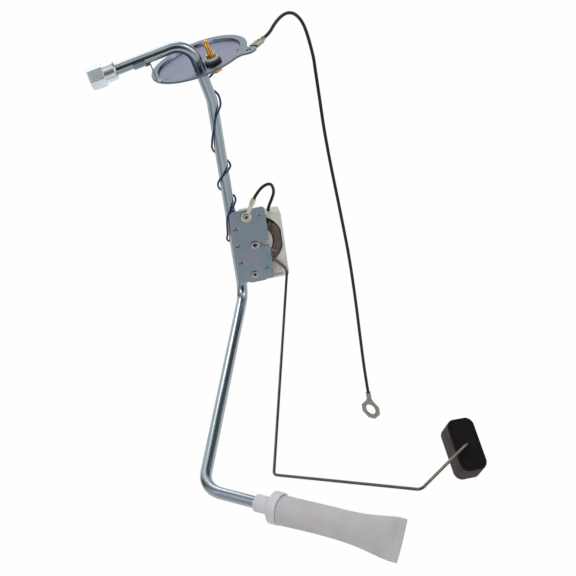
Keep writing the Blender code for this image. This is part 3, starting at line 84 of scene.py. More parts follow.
# Camera, at the photograph's viewing angle
CAMERA_PLACE = Vector((0.0, -1063.8, 366.3)) * MM
CAMERA_TILT = math.radians(60.44)       # up from straight down
CAMERA_ROLL = math.radians(-21.23)
CAMERA_LENS = 81.25
SENSOR = 36.0

# Floor, and how much of its own light the camera sees in place of its shading
FLOOR_HEIGHT = -0.47
FLOOR_SIZE = 9.0
FLOOR_FRONT = -0.33                     # its edge towards the camera
FLOOR_TONE = (0.86, 0.86, 0.86, 1.0)
FLOOR_ROUGHNESS = 0.9
FLOOR_GLOW = 0.97

# Lamps: name, place, what it is aimed at, its width and height, and its power
LAMPS = [("key", (-0.75, -0.85, 1.05), (0.0, -0.15, -0.15), (0.6, 0.6), 5.0),
         ("fill", (1.05, -0.45, 0.55), (0.0, -0.15, -0.20), (0.3, 0.9), 2.5),
         ("back", (0.2, 1.1, 0.8), (0.0, -0.1, -0.10), (0.9, 0.3), 0.6),
         ("strip", (0.04, 0.70, 0.66), (0.0, -0.13, -0.23), (0.6, 0.25), 1.6)]

# White studio as gloss shows it: white behind the object, with darker gaps on the camera's own side.
# Each list gives levels at places from 0 to 1: round the upright from the back over the camera's left,
# front and right; then from straight behind the object to the camera; then from below to above
PHOTOGRAPHER = Vector((0.05, -0.92, 0.38)).normalized()
ROUND_BANDS = [(0.0, 1.0), (0.10, 1.0), (0.135, 0.10), (0.165, 0.10), (0.21, 0.60), (0.27, 1.0), (0.33, 0.30),
               (0.38, 0.65), (0.45, 1.0), (0.56, 1.0), (0.61, 0.55), (0.67, 0.95), (0.74, 0.90), (0.79, 0.75),
               (0.815, 0.08), (0.875, 0.08), (0.905, 1.0)]
CAMERA_BANDS = [(0.0, 1.0), (0.46, 1.0), (0.55, 0.70), (0.63, 1.0), (0.89, 1.0), (0.94, 0.12), (0.98, 0.05)]
HEIGHT_BANDS = [(0.0, 0.22), (0.12, 0.30), (0.20, 1.0)]
STUDIO_PLAIN = 0.62                     # level that dull surfaces get from every side

# Where nearly all of a noise's values lie, and how much rubber foam and insulation shine
NOISE_SPREAD = (0.3, 0.7)
FOAM_GLOSS = 0.12
INSULATION_GLOSS = 0.3

# Plate and pickup tube, repeated from the part
PLATE_FLOOR_RADIUS = 36.0 * MM          # where the plate's floor meets its rim
PLATE_RIM_BLEND = 1.5 * MM              # half the width of the change of tone there
GAP = 0.3 * MM
TUBE_RADIUS = 4.76 * MM
TUBE_WALL = 0.9 * MM
TUBE_SIDES = 48
TUBE_FACET = math.radians(2.5)
TUBE_X = -2.4 * MM
TUBE_Y = -20.0 * MM
BAR_HEIGHT = 27.0 * MM
BAR_END_X = -84.0 * MM
TOP_BEND = 17.0 * MM
KINK = Vector((TUBE_X, TUBE_Y, -28.0 * MM))
KINK_BEND = 30.0 * MM
TUBE_LEAN = math.radians(11.4)
UPPER_LENGTH = 189.8 * MM
LOW_BEND = 16.0 * MM
LOWER_RUN = Vector((-78.7, -221.0, -26.5)) * MM
FOOT_BEND = 25.0 * MM
FOOT_DIRECTION = Vector((0.750, -0.649, -0.142)).normalized()
FOOT_LENGTH = 64.0 * MM
FLARE_RADIUS = 6.5 * MM
FLARE_LENGTH = 2.0 * MM
DOWN_TUBE = Vector((-math.sin(TUBE_LEAN), 0.0, -math.cos(TUBE_LEAN)))
LOW_CORNER = KINK + DOWN_TUBE * UPPER_LENGTH
FOOT_CORNER = LOW_CORNER + LOWER_RUN
UPRIGHT = Matrix.Rotation(TUBE_LEAN, 4, "Y")
SENDER = Matrix.Translation(JOINTS["arm_pivot"]["pos_m"]) @ UPRIGHT
FACING = Matrix.Rotation(QUARTER, 4, "X")

# Stud
STUD_RADIUS = 2.4 * MM
THREAD_PITCH = 1.06 * MM
THREAD_DEPTH = 0.38 * MM
THREAD_RUNOUT = 0.9 * MM
THREAD_STEPS = 9                        # rings to one pitch
STUD_SIDES = 36

# Rivets: bore, shank, head and tail radius, and the head's thickness
RIVET_SIZES = (1.2 * MM, 1.9 * MM, 3.3 * MM, 2.8 * MM, 0.8 * MM)
PIVOT_SIZES = (1.6 * MM, 2.5 * MM, 3.8 * MM, 3.5 * MM, 0.9 * MM)
RIVET_MOUTH = 0.33                      # how far the mouth flares, from the bore (0) to the head (1)
RIVET_MOUTH_START = 0.1 * MM
RIVET_LIP = 0.25 * MM
RIVET_EDGE = 0.5 * MM
RIVET_SIDES = 48

# Float arm
ARM_RADIUS = 1.2 * MM
ARM_SIDES = 24
ARM_FACET = math.radians(6.0)
ARM_DEPTH = 1.95 * MM
ARM_ANGLE = math.radians(-51.0)
ARM_START = 4.7 * MM
ARM_LEG = 41.4 * MM
ARM_BEND = 5.0 * MM
ARM_REACH = Vector((-68.9, -218.7, -47.1)) * MM
ARM_CROSS = Vector((100.7, -80.9, 0.0)) * MM
ARM_TIP = Vector((47.6, 31.5, 0.0)) * MM
FLOAT_TILT = math.radians(49.5)
FLOAT_PIN = 17.0 * MM                   # from the arm's last bend to its end inside the float

# Float
FLOAT_LENGTH = 43.0 * MM
FLOAT_WIDTH = 22.0 * MM
FLOAT_THICK = 18.0 * MM
FLOAT_TURN = math.radians(31.0)
FLOAT_STANDOFF = 4.0 * MM
FLOAT_CORNER = 6.0 * MM
FLOAT_BOW = 0.9 * MM
FLOAT_EDGE = 1.0 * MM
FLOAT_EDGE_CURVE = [(1.0, 0.0), (0.45, 0.12), (0.12, 0.45), (0.0, 1.0)]     # shares of it, in and down
FLOAT_LINE_IN = 2.4 * MM                # from the side to the line pressed into each face
FLOAT_LINE_HALF = 0.3 * MM
FLOAT_LINE_DEPTH = 0.35 * MM
FLOAT_SIDES = 96

# Resistor card
CARD_INNER = 18.0 * MM
CARD_OUTER = 25.0 * MM
CARD_HALF_ANGLE = math.radians(40.0)
CARD_FRONT = 4.5 * MM
CARD_BACK = 10.2 * MM
WINDING_TURNS = 92
WINDING_STEPS = 4                       # rings to one turn of wire
WINDING_DEPTH = 0.14 * MM

# Strainer
NECK_LENGTH = 14.5 * MM
CUP_LENGTH = 8.0 * MM
COLLAR_START = FOOT_LENGTH - 14.3 * MM
SOCK_LENGTH = 100.0 * MM
SOCK_END_THICK = 2.6 * MM
SOCK_RADIUS = 11.4 * MM
SOCK_ROUND_TO = 0.46                    # shares of its length: round to here, flat from there
SOCK_SEAM_FROM = 0.94
SOCK_PINCH = 2.9                        # power by which it flattens
SOCK_ROLL = math.radians(38.0)
SOCK_SIDES = 144
SOCK_STEPS = 220
STITCH_LINES = (0.945, 0.985)
STITCH_WIDTH = 0.004
STITCH_DEPTH = 0.4 * MM
PUCKERS = 26                            # round its mouth at the collar
PUCKER_DEPTH = 0.16 * MM
PUCKER_REACH = 0.05
SAG_DEPTH = 0.9 * MM
SAG_ACROSS = 45.0                       # waves to a metre
SAG_ALONG = 22.0
CREASE_DEPTH = 0.5 * MM
CREASE_ACROSS = 130.0
CREASE_ALONG = 18.0
CREASE_APART = 3.0                      # keeps the two faces' creases different

# Wires, with their routes' points in millimetres
SIGNAL_RADIUS = 0.9 * MM
JUMPER_RADIUS = 1.375 * MM
LEAD_RADIUS = 1.5 * MM
WIRE_SIDES = 18
LEAD_START = (56.81, -10.59, 3.15)
LEAD_ROUTE = [(60.2, -7.2, 3.2), (64.8, -2.7, 4.1), (70.6, 2.9, 6.6), (77.2, 9.0, 8.2), (84.0, 15.2, 7.5),
              (89.8, 19.9, 3.8), (93.8, 23.9, -3.2), (95.9, 26.3, -12.0), (96.2, 27.4, -24.0),
              (95.0, 27.6, -42.2), (92.5, 27.3, -57.0), (88.4, 26.0, -79.6), (83.0, 24.2, -109.0),
              (78.3, 22.5, -140.2), (74.4, 20.8, -170.0), (70.3, 19.2, -201.2), (65.9, 17.5, -233.0),
              (60.6, 15.9, -264.4), (54.4, 14.2, -297.0), (48.0, 12.6, -328.9), (42.0, 11.4, -360.0),
              (37.2, 9.9, -388.0)]
LUG_END = Vector((10.1, -17.6, -3.2))   # where the signal wire's lug turns on the stud
LUG_ANGLE = math.radians(60.0)
LUG_REACH = 12.3
SIGNAL_START = [(17.1, -5.4, -3.2), (18.3, -3.3, -3.7), (18.6, -2.4, -6.0), (16.6, -3.6, -8.2),
                (13.2, -6.9, -8.7), (9.7, -9.8, -9.0), (5.8, -12.3, -9.6), (1.2, -13.6, -11.6),
                (-2.2, -13.5, -15.6), (0.6, -14.2, -20.4)]
# Along the tube, round it in degrees, and out from its axis
SIGNAL_ROUTE = [(-2.5, -24.0, 6.8), (4.3, 8.0, 6.7), (8.0, 50.0, 6.4), (12.5, 83.0, 6.3),
                (18.0, 100.0, 6.2), (24.2, 115.0, 6.2), (30.7, 138.0, 6.3), (36.5, 157.0, 6.4),
                (43.0, 186.0, 6.5), (49.0, 226.0, 6.5), (55.0, 284.0, 6.5), (59.5, 332.0, 6.6),
                (62.0, 372.0, 6.7), (64.0, 418.0, 6.5), (67.0, 455.0, 6.4), (71.0, 492.0, 6.5),
                (77.0, 530.0, 6.9), (84.0, 575.0, 6.6), (89.5, 635.0, 6.5), (92.5, 690.0, 6.6),
                (94.5, 730.0, 6.5), (97.5, 772.0, 6.5), (102.5, 812.0, 6.4), (108.5, 844.0, 6.5),
                (116.0, 859.0, 6.5), (125.0, 870.0, 6.5), (132.5, 906.0, 6.7), (139.0, 968.0, 6.7)]
# In the sender's own frame
JUMPER_ROUTE = [(5.6, -1.9, 45.9), (7.6, -1.9, 48.6), (10.3, -1.8, 51.6), (13.2, -1.4, 54.0),
                (16.4, -0.6, 55.4), (20.0, 0.6, 55.6), (22.8, 2.4, 53.4), (24.2, 4.4, 48.6),
                (24.0, 6.2, 43.4), (22.2, 7.8, 38.0), (19.8, 8.7, 33.0), (18.0, 9.0, 29.0),
                (17.4, 9.0, 26.4)]



# Shader nodes

class Nodes:
    """Builds one node tree; most methods add a node and give its output."""

    def __init__(self, tree):
        self.tree = tree

    def feed(self, socket, value):
        if isinstance(value, bpy.types.NodeSocket):
            self.tree.links.new(value, socket)
        else:
            socket.default_value = value

    def node(self, kind, inputs=(), **settings):
        node = self.tree.nodes.new("ShaderNode" + kind)
        for key, value in settings.items():
            setattr(node, key, value)
        for key, value in dict(inputs).items():
            self.feed(node.inputs[key], value)
        return node

    def math(self, operation, *values):
        return self.node("Math", enumerate(values), operation=operation).outputs[0]

    def ramp(self, value, *stops):
        node = self.node("ValToRGB", {"Fac": value})
        band = node.color_ramp
        while len(band.elements) < len(stops):
            band.elements.new(0.5)
        for element, (position, color) in zip(band.elements, stops):
            element.position = position
            element.color = color
        return node.outputs["Color"]

    def mix(self, share, first, second):
        """The first colour where the share is 0, the second where it is 1."""
        return self.node("Mix", {0: share, 6: first, 7: second}, data_type="RGBA").outputs[2]

    def rays(self, *kinds):
        """1 for a ray of any of these kinds, else 0."""
        path = self.node("LightPath")
        total = path.outputs[kinds[0]]
        for kind in kinds[1:]:
            total = self.math("MAXIMUM", total, path.outputs[kind])
        return total


def grey(level):
    return (level, level, level, 1.0)


# Camera and light

def make_camera():
    camera = bpy.data.objects.new("camera", bpy.data.cameras.new("camera"))
    camera.data.lens = CAMERA_LENS
    camera.data.sensor_width = SENSOR
    aim = Matrix.Rotation(CAMERA_TILT, 4, "X") @ Matrix.Rotation(CAMERA_ROLL, 4, "Z")
    camera.matrix_world = Matrix.Translation(CAMERA_PLACE) @ aim
    bpy.context.scene.collection.objects.link(camera)
    bpy.context.scene.camera = camera


def make_lamp(name, place, target, size, power):
    lamp = bpy.data.objects.new(name, bpy.data.lights.new(name, "AREA"))
    lamp.data.shape = "RECTANGLE"
    lamp.data.size = size[0]
    lamp.data.size_y = size[1]
    lamp.data.energy = power
    lamp.location = place
    lamp.visible_camera = False
    lamp.rotation_euler = (Vector(target) - Vector(place)).to_track_quat("-Z", "Y").to_euler()
    bpy.context.scene.collection.objects.link(lamp)


def studio_in_gloss(nodes):
    """White backdrop, and the camera's side with its gaps: the darkest band counts."""
    toward = nodes.node("TexCoord").outputs["Generated"]
    parts = nodes.node("SeparateXYZ", {"Vector": toward}).outputs
    turn = nodes.math("ARCTAN2", parts["X"], nodes.math("MULTIPLY", parts["Y"], -1.0))
    facing = nodes.node("VectorMath", {0: toward, 1: PHOTOGRAPHER}, operation="DOT_PRODUCT")
    round_share = nodes.math("MULTIPLY_ADD", turn, 1 / TURN, 0.5)
    camera_share = nodes.math("MULTIPLY_ADD", facing.outputs["Value"], 0.5, 0.5)
    height_share = nodes.math("MULTIPLY_ADD", parts["Z"], 0.5, 0.5)
    levels = []
    for share, bands in ((round_share, ROUND_BANDS), (camera_share, CAMERA_BANDS),
                         (height_share, HEIGHT_BANDS)):
        levels.append(nodes.ramp(share, *[(place, grey(level)) for place, level in bands]))
    return nodes.math("MINIMUM", nodes.math("MINIMUM", levels[0], levels[1]), levels[2])


def make_world():
    """Plain light for dull surfaces, white for the camera, and the studio's bands for gloss."""
    world = bpy.data.worlds.new("studio")
    bpy.context.scene.world = world
    world.use_nodes = True
    nodes = Nodes(world.node_tree)
    glossy = nodes.mix(nodes.rays("Is Glossy Ray"), grey(STUDIO_PLAIN), studio_in_gloss(nodes))
    light = nodes.mix(nodes.rays("Is Camera Ray", "Is Transmission Ray"), glossy, grey(1.0))
    nodes.feed(nodes.tree.nodes["Background"].inputs["Color"], light)


def floor_material():
    """Dull white, which the camera, gloss and clear things see mostly by its own light."""
    material = bpy.data.materials.new("floor")
    material.use_nodes = True
    nodes = Nodes(material.node_tree)
    shader = nodes.tree.nodes["Principled BSDF"]
    nodes.feed(shader.inputs["Base Color"], FLOOR_TONE)
    nodes.feed(shader.inputs["Roughness"], FLOOR_ROUGHNESS)
    seen = nodes.rays("Is Camera Ray", "Is Glossy Ray", "Is Transmission Ray")
    share = nodes.math("MULTIPLY", seen, FLOOR_GLOW)
    glow = nodes.node("Emission").outputs[0]
    surface = nodes.node("MixShader", {0: share, 1: shader.outputs[0], 2: glow}).outputs[0]
    nodes.feed(nodes.tree.nodes["Material Output"].inputs["Surface"], surface)
    return material


def make_floor():
    """Pale floor that keeps a faint shadow and runs on into a white background."""
    mesh = bpy.data.meshes.new("floor")
    half = FLOOR_SIZE / 2
    work = bmesh.new()
    bmesh.ops.create_grid(work, x_segments=1, y_segments=1, size=half)
    work.to_mesh(mesh)
    work.free()
    floor = bpy.data.objects.new("floor", mesh)
    floor.location = (0.0, FLOOR_FRONT + half, FLOOR_HEIGHT)
    bpy.context.scene.collection.objects.link(floor)
    floor.data.materials.append(floor_material())


def make_studio():
    bpy.context.scene.view_settings.view_transform = "Standard"
    make_camera()
    make_world()
    make_floor()
    for lamp in LAMPS:
        make_lamp(*lamp)


# Materials

def srgb(red, green, blue):
    """A colour written as it is seen, 0 to 255, as the shader's linear values."""
    values = []
    for part in (red, green, blue):
        share = part / 255
        values.append(share / 12.92 if share <= 0.04045 else ((share + 0.055) / 1.055) ** 2.4)
    return (*values, 1.0)


class Finish(Nodes):
    """One procedural material, built node by node."""

    def __init__(self, name, **values):
        self.material = bpy.data.materials.new(name)
        self.material.use_nodes = True
        super().__init__(self.material.node_tree)
        self.shader = self.tree.nodes["Principled BSDF"]
        for socket, value in values.items():
            self.set(socket.replace("_", " ").title(), value)

    def set(self, socket, value):
        self.feed(self.shader.inputs[socket], value)

    def place(self, stretch=(1.0, 1.0, 1.0), source="Object"):
        """Coordinates in metres: the row frame's, or a swept piece's own round and along."""
        where = self.node("TexCoord").outputs[source]
        return self.node("Mapping", {"Vector": where, "Scale": stretch}).outputs[0]

    def noise(self, size, detail=3.0, roughness=0.55, stretch=(1.0, 1.0, 1.0), source="Object"):
        """Cloudy values whose features are about this size in metres."""
        inputs = {"Vector": self.place(stretch, source), "Scale": 1 / size, "Detail": detail,
                  "Roughness": roughness}
        return self.node("TexNoise", inputs).outputs["Fac"]

    def span(self, value, low, high, start=0.0, end=1.0):
        """From low to high as the value goes from start to end."""
        inputs = {"Value": value, "From Min": start, "From Max": end, "To Min": low, "To Max": high}
        return self.node("MapRange", inputs).outputs[0]

    def vary(self, cloud, low, high):
        """From low to high over a noise's usual values."""
        return self.span(cloud, low, high, *NOISE_SPREAD)

    def bump(self, height, depth, strength=1.0):
        """Adds relief of this depth in metres, on top of any already there."""
        inputs = {"Height": height, "Distance": depth, "Strength": strength}
        node = self.node("Bump", inputs)
        normal = self.shader.inputs["Normal"]
        if normal.is_linked:
            self.tree.links.new(normal.links[0].from_socket, node.inputs["Normal"])
        self.tree.links.new(node.outputs[0], normal)


def zinc_plate():
    """Zinc with a blue and violet passivation: blotches of hue, fine flecks and a plainer rim."""
    finish = Finish("zinc_passivated", metallic=1.0)
    cloud = finish.noise(26 * MM, detail=2.5)
    hue = finish.ramp(cloud, (0.30, srgb(92, 110, 122)), (0.46, srgb(102, 110, 132)),
                      (0.58, srgb(114, 108, 136)), (0.72, srgb(90, 110, 118)))
    fleck = finish.noise(0.9 * MM, detail=4.0, roughness=0.7)
    toned = finish.mix(finish.span(fleck, 0.0, 0.2, 0.35, 0.75), hue, srgb(130, 140, 154))
    flat = finish.place(stretch=(1.0, 1.0, 0.0))
    across = finish.node("VectorMath", {0: flat}, operation="LENGTH").outputs["Value"]
    rim = finish.span(across, 0.0, 0.8, PLATE_FLOOR_RADIUS - PLATE_RIM_BLEND,
                      PLATE_FLOOR_RADIUS + PLATE_RIM_BLEND)
    finish.set("Base Color", finish.mix(rim, toned, srgb(98, 114, 120)))
    finish.set("Roughness", finish.vary(fleck, 0.24, 0.42))
    finish.bump(finish.noise(0.35 * MM, detail=3.0), 0.006 * MM)
    finish.bump(finish.noise(9 * MM, detail=2.0), 0.05 * MM)
    return finish.material


def zinc_bracket():
    """Cooler zinc of the stamped bracket, with rolling marks along it."""
    finish = Finish("zinc_bracket", metallic=1.0)
    cloud = finish.noise(15 * MM, detail=3.0)
    hue = finish.ramp(cloud, (0.32, srgb(120, 138, 146)), (0.50, srgb(128, 142, 152)),
                      (0.62, srgb(138, 140, 156)), (0.75, srgb(122, 139, 147)))
    grain = finish.noise(0.8 * MM, detail=4.0, roughness=0.7, stretch=(1.0, 1.0, 0.12))
    toned = finish.mix(finish.span(grain, 0.0, 0.16, 0.4, 0.75), hue, srgb(170, 180, 188))
    finish.set("Base Color", toned)
    finish.set("Roughness", finish.vary(grain, 0.30, 0.46))
    finish.bump(grain, 0.008 * MM)
    finish.bump(finish.noise(7 * MM, detail=2.0), 0.04 * MM)
    return finish.material


def zinc_tube():
    """Drawn tube, bright zinc: faint streaks along it and soft blotches of plating."""
    finish = Finish("zinc_drawn", metallic=1.0)
    streak = finish.noise(0.9 * MM, detail=3.0, stretch=(1.0, 0.02, 1.0), source="UV")
    cloud = finish.noise(18 * MM, detail=3.0)
    hue = finish.ramp(cloud, (0.32, srgb(134, 149, 152)), (0.52, srgb(143, 153, 162)),
                      (0.70, srgb(150, 152, 170)))
    toned = finish.mix(finish.span(streak, 0.0, 0.4, 0.35, 0.8), hue, srgb(206, 216, 218))
    finish.set("Base Color", toned)
    finish.set("Roughness", finish.span(streak, 0.13, 0.30, 0.3, 0.75))
    finish.bump(streak, 0.006 * MM)
    return finish.material


def turned_zinc():
    """Bright turned zinc of the tube nut."""
    finish = Finish("zinc_turned", metallic=1.0)
    cloud = finish.noise(6 * MM, detail=3.0)
    hue = finish.ramp(cloud, (0.35, srgb(204, 214, 220)), (0.65, srgb(222, 228, 232)))
    finish.set("Base Color", hue)
    grain = finish.noise(1.2 * MM, detail=2.0)
    finish.set("Roughness", finish.vary(grain, 0.29, 0.33))
    return finish.material


def brass():
    finish = Finish("brass", metallic=1.0)
    cloud = finish.noise(1.6 * MM, detail=3.0)
    hue = finish.ramp(cloud, (0.35, srgb(190, 138, 52)), (0.6, srgb(218, 172, 84)))
    finish.set("Base Color", hue)
    grain = finish.noise(0.2 * MM, detail=2.0)
    finish.set("Roughness", finish.vary(grain, 0.18, 0.34))
    finish.bump(grain, 0.006 * MM)
    return finish.material


def steel(name, dark, light, size, low, high):
    """Plain bright metal with a fine grain: steel, tin or bronze by its two tones."""
    finish = Finish(name, metallic=1.0)
    cloud = finish.noise(size, detail=3.0)
    finish.set("Base Color", finish.ramp(cloud, (0.35, dark), (0.65, light)))
    grain = finish.noise(size / 8, detail=3.0)
    finish.set("Roughness", finish.vary(grain, low, high))
    finish.bump(grain, 0.008 * MM)
    return finish.material


def nylon(name, dark, light):
    """Natural nylon moulding: slightly translucent, with a faint spark-eroded skin."""
    finish = Finish(name, subsurface_weight=0.2, subsurface_scale=1.2 * MM)
    cloud = finish.noise(9 * MM, detail=3.0)
    tone = finish.ramp(cloud, (0.3, dark), (0.7, light))
    finish.set("Base Color", tone)
    skin = finish.noise(0.3 * MM, detail=3.0)
    finish.set("Roughness", finish.vary(skin, 0.34, 0.5))
    finish.bump(skin, 0.012 * MM)
    return finish.material


def rubber(name, dark, light, size, rough):
    """Dull black rubber or moulding, by its two tones."""
    finish = Finish(name, sheen_weight=0.15)
    cloud = finish.noise(size, detail=4.0)
    finish.set("Base Color", finish.ramp(cloud, (0.35, dark), (0.7, light)))
    skin = finish.noise(0.25 * MM, detail=3.0, roughness=0.6)
    finish.set("Roughness", finish.vary(skin, rough - 0.1, rough + 0.1))
    finish.bump(skin, 0.02 * MM)
    return finish.material


def insulation(name, dark, light):
    """Extruded wire insulation: semi-gloss, with faint lines along it and slow waves."""
    finish = Finish(name)
    finish.set("Specular IOR Level", INSULATION_GLOSS)
    streak = finish.noise(0.7 * MM, detail=3.0, stretch=(1.0, 0.04, 1.0), source="UV")
    finish.set("Base Color", finish.ramp(streak, (0.35, dark), (0.7, light)))
    finish.set("Roughness", finish.vary(streak, 0.28, 0.42))
    finish.bump(streak, 0.02 * MM)
    finish.bump(finish.noise(4 * MM, detail=1.0, source="UV"), 0.05 * MM)
    return finish.material


def float_rubber(name, dark, light):
    """Closed-cell float rubber, matt and finely pitted, by its two tones."""
    finish = Finish(name)
    finish.set("Specular IOR Level", FOAM_GLOSS)
    cloud = finish.noise(7 * MM, detail=4.0)
    tone = finish.ramp(cloud, (0.35, dark), (0.7, light))
    finish.set("Base Color", tone)
    cells = finish.node("TexVoronoi", {"Vector": finish.place(), "Scale": 1 / (0.45 * MM)})
    pit = finish.span(cells.outputs["Distance"], 0.0, 1.0, 0.0, 0.6)
    finish.set("Roughness", finish.vary(cloud, 0.62, 0.78))
    finish.bump(pit, 0.03 * MM)
    finish.bump(finish.noise(3 * MM, detail=2.0), 0.08 * MM)
    return finish.material


def winding():
    """Fine resistance wire side by side on its card."""
    finish = Finish("winding", metallic=0.35)
    cloud = finish.noise(2.5 * MM, detail=4.0)
    finish.set("Base Color", finish.ramp(cloud, (0.35, srgb(98, 84, 76)), (0.7, srgb(126, 110, 100))))
    finish.set("Roughness", finish.vary(finish.noise(0.4 * MM), 0.36, 0.52))
    finish.bump(finish.noise(0.2 * MM, detail=2.0), 0.01 * MM)
    return finish.material


def woven_mesh():
    """White nylon mesh: warp and weft as relief, and painted shade that slightly darkens the openings between
    them.
    """
    finish = Finish("woven_mesh", subsurface_weight=0.35, subsurface_scale=2.0 * MM, sheen_weight=0.2)
    where = finish.node("SeparateXYZ", {"Vector": finish.node("TexCoord").outputs["UV"]})
    pitch = 0.42 * MM
    warp = finish.math("SINE", finish.math("MULTIPLY", where.outputs[0], TURN / pitch))
    weft = finish.math("SINE", finish.math("MULTIPLY", where.outputs[1], TURN / pitch))
    weave = finish.math("MULTIPLY", warp, weft)
    threads = finish.span(weave, 0.0, 1.0, -1.0, 1.0)
    cloud = finish.noise(14 * MM, detail=3.0)
    tone = finish.ramp(cloud, (0.3, srgb(190, 188, 191)), (0.7, srgb(202, 199, 201)))
    # Painted shade: the openings between the threads are darkened towards a grey
    openings_painted_shade = finish.mix(finish.span(threads, 0.0, 0.30), tone, srgb(164, 162, 168))
    finish.set("Base Color", openings_painted_shade)
    finish.set("Roughness", finish.vary(cloud, 0.62, 0.8))
    finish.bump(threads, 0.05 * MM, strength=0.7)
    return finish.material


# Mesh building

def new_piece(name, work, material, sharp=SHARP_ANGLE):
    mesh = bpy.data.meshes.new(name)
    work.to_mesh(mesh)
    work.free()
    mesh.shade_smooth()
    mesh.set_sharp_from_angle(angle=sharp)
    mesh.materials.append(material)
    piece = bpy.data.objects.new(name, mesh)
    bpy.context.scene.collection.objects.link(piece)
    return piece


def stand_for(piece, body, slot, *nodes):
    """The piece rides on a body and is shown in place of the nodes; the slot is not used."""
    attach(piece, body)
    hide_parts(*nodes)
    return piece


def body_of(node):
    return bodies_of(NODES[node])[0]


def slot_of(node):
    rows = frame["record"]["subparts"]
    return next(row["material_slot"] for row in rows if row["node"] == node)


def dress(node, name, material, edge=0.0):
    """The node's own form with its facets shaded round and its sharp edges slightly broken."""
    work = bmesh.new()
    work.from_mesh(NODES[node].data)
    bmesh.ops.remove_doubles(work, verts=work.verts, dist=WELD)
    bmesh.ops.dissolve_limit(work, angle_limit=FLAT_ANGLE, verts=work.verts, edges=work.edges)
    if edge:
        sharp = [e for e in work.edges if len(e.link_faces) == 2 and e.calc_face_angle() > SHARP_ANGLE]
        bmesh.ops.bevel(work, geom=sharp, offset=edge, segments=2, profile=0.5, affect="EDGES",
                        clamp_overlap=True)
    piece = new_piece(name, work, material)
    normals = piece.modifiers.new("normals", "WEIGHTED_NORMAL")
    normals.keep_sharp = True
    return stand_for(piece, body_of(node), slot_of(node), node)


def skin(rings, closed=False, caps=False):
    """A surface over rings of points, with UVs in metres round and along it."""
    work = bmesh.new()
    layer = work.loops.layers.uv.new("round_and_along")
    rows = [[work.verts.new(point) for point in ring] for ring in rings]
    sides = len(rings[0])
    along = [0.0]
    for low, high in zip(rings, rings[1:] + rings[:1]):
        middle_low = sum(low, Vector()) / sides
        middle_high = sum(high, Vector()) / sides
        along.append(along[-1] + max((middle_high - middle_low).length, (high[0] - low[0]).length))
    around = max(sum((ring[i] - ring[i - 1]).length for i in range(sides)) for ring in rings)
    pairs = len(rings) if closed else len(rings) - 1
    for index in range(pairs):
        low = rows[index]
        high = rows[(index + 1) % len(rows)]
        for side in range(sides):
            after = (side + 1) % sides
            face = work.faces.new((low[side], low[after], high[after], high[side]))
            shares = ((side, 0), (side + 1, 0), (side + 1, 1), (side, 1))
            for loop, (step, end) in zip(face.loops, shares):
                loop[layer].uv = (around * step / sides, along[index + end])
    if caps:
        work.faces.new(list(reversed(rows[0])))
        work.faces.new(rows[-1])
    bmesh.ops.remove_doubles(work, verts=work.verts, dist=WELD)
    bmesh.ops.dissolve_degenerate(work, edges=work.edges, dist=WELD)
    bmesh.ops.recalc_face_normals(work, faces=work.faces)
    return work


def along_path(path, radii, sides):
    """Rings square to a path, turning as little as they can from one to the next."""
    tangents = []
    for index in range(len(path)):
        before = path[max(index - 1, 0)]
        after = path[min(index + 1, len(path) - 1)]
        tangents.append((after - before).normalized())
    normal = tangents[0].orthogonal().normalized()
    rings = []
    for index, (centre, tangent) in enumerate(zip(path, tangents)):
        if index:
            normal = tangents[index - 1].rotation_difference(tangent) @ normal
        normal = (normal - tangent * normal.dot(tangent)).normalized()
        third = tangent.cross(normal)
        turns = [TURN * side / sides for side in range(sides)]
        rings.append([centre + (normal * math.cos(a) + third * math.sin(a)) * radii[index] for a in turns])
    return rings


def bent_path(corners, radii, facet):
    """Straight runs through corners, each corner rounded by its bend radius."""
    path = [Vector(corners[0])]
    for before, corner, after, radius in zip(corners, corners[1:], corners[2:], radii):
        back = (Vector(before) - Vector(corner)).normalized()
        ahead = (Vector(after) - Vector(corner)).normalized()
        half = back.angle(ahead) / 2
        centre = Vector(corner) + (back + ahead).normalized() * (radius / math.sin(half))
        start = Vector(corner) + back * (radius / math.tan(half)) - centre
        axis = (-back).cross(ahead).normalized()
        sweep = math.pi - 2 * half
        steps = max(2, math.ceil(sweep / facet))
        path += [centre + Matrix.Rotation(sweep * step / steps, 3, axis) @ start for step in range(steps + 1)]
    path.append(Vector(corners[-1]))
    return path


def smooth_line(points, steps=8):
    """A fine line on the smooth curve through every given point."""
    points = [Vector(point) for point in points]
    padded = [2 * points[0] - points[1]] + points + [2 * points[-1] - points[-2]]
    fine = []
    for a, b, c, d in zip(padded, padded[1:], padded[2:], padded[3:]):
        for step in range(steps):
            t = step / steps
            square = (2 * a - 5 * b + 4 * c - d) * t * t
            cube = (3 * b - a - 3 * c + d) * t * t * t
            fine.append((2 * b + (c - a) * t + square + cube) / 2)
    fine.append(points[-1])
    return fine


def round_wire(node, name, path, radius, material, sides=WIRE_SIDES):
    work = skin(along_path(path, [radius] * len(path), sides), caps=True)
    piece = new_piece(name, work, material, sharp=math.radians(60.0))
    return stand_for(piece, body_of(node), slot_of(node), node)


# Ground lead, the object's one free cord

def ground_lead(material):
    path = smooth_line([Vector(point) * MM for point in [LEAD_START] + LEAD_ROUTE])
    lead = round_wire("ground_lead", "lead_cable", path, LEAD_RADIUS, material)
    return lead


# Wires that the object holds along their way

def around_tube(along, angle, out):
    """Point this far down the tube from its kink, at an angle round it and out from its axis."""
    aside = UPRIGHT.to_3x3() @ Vector((math.cos(angle) * out, -math.sin(angle) * out, 0.0))
    return KINK + DOWN_TUBE * along + aside


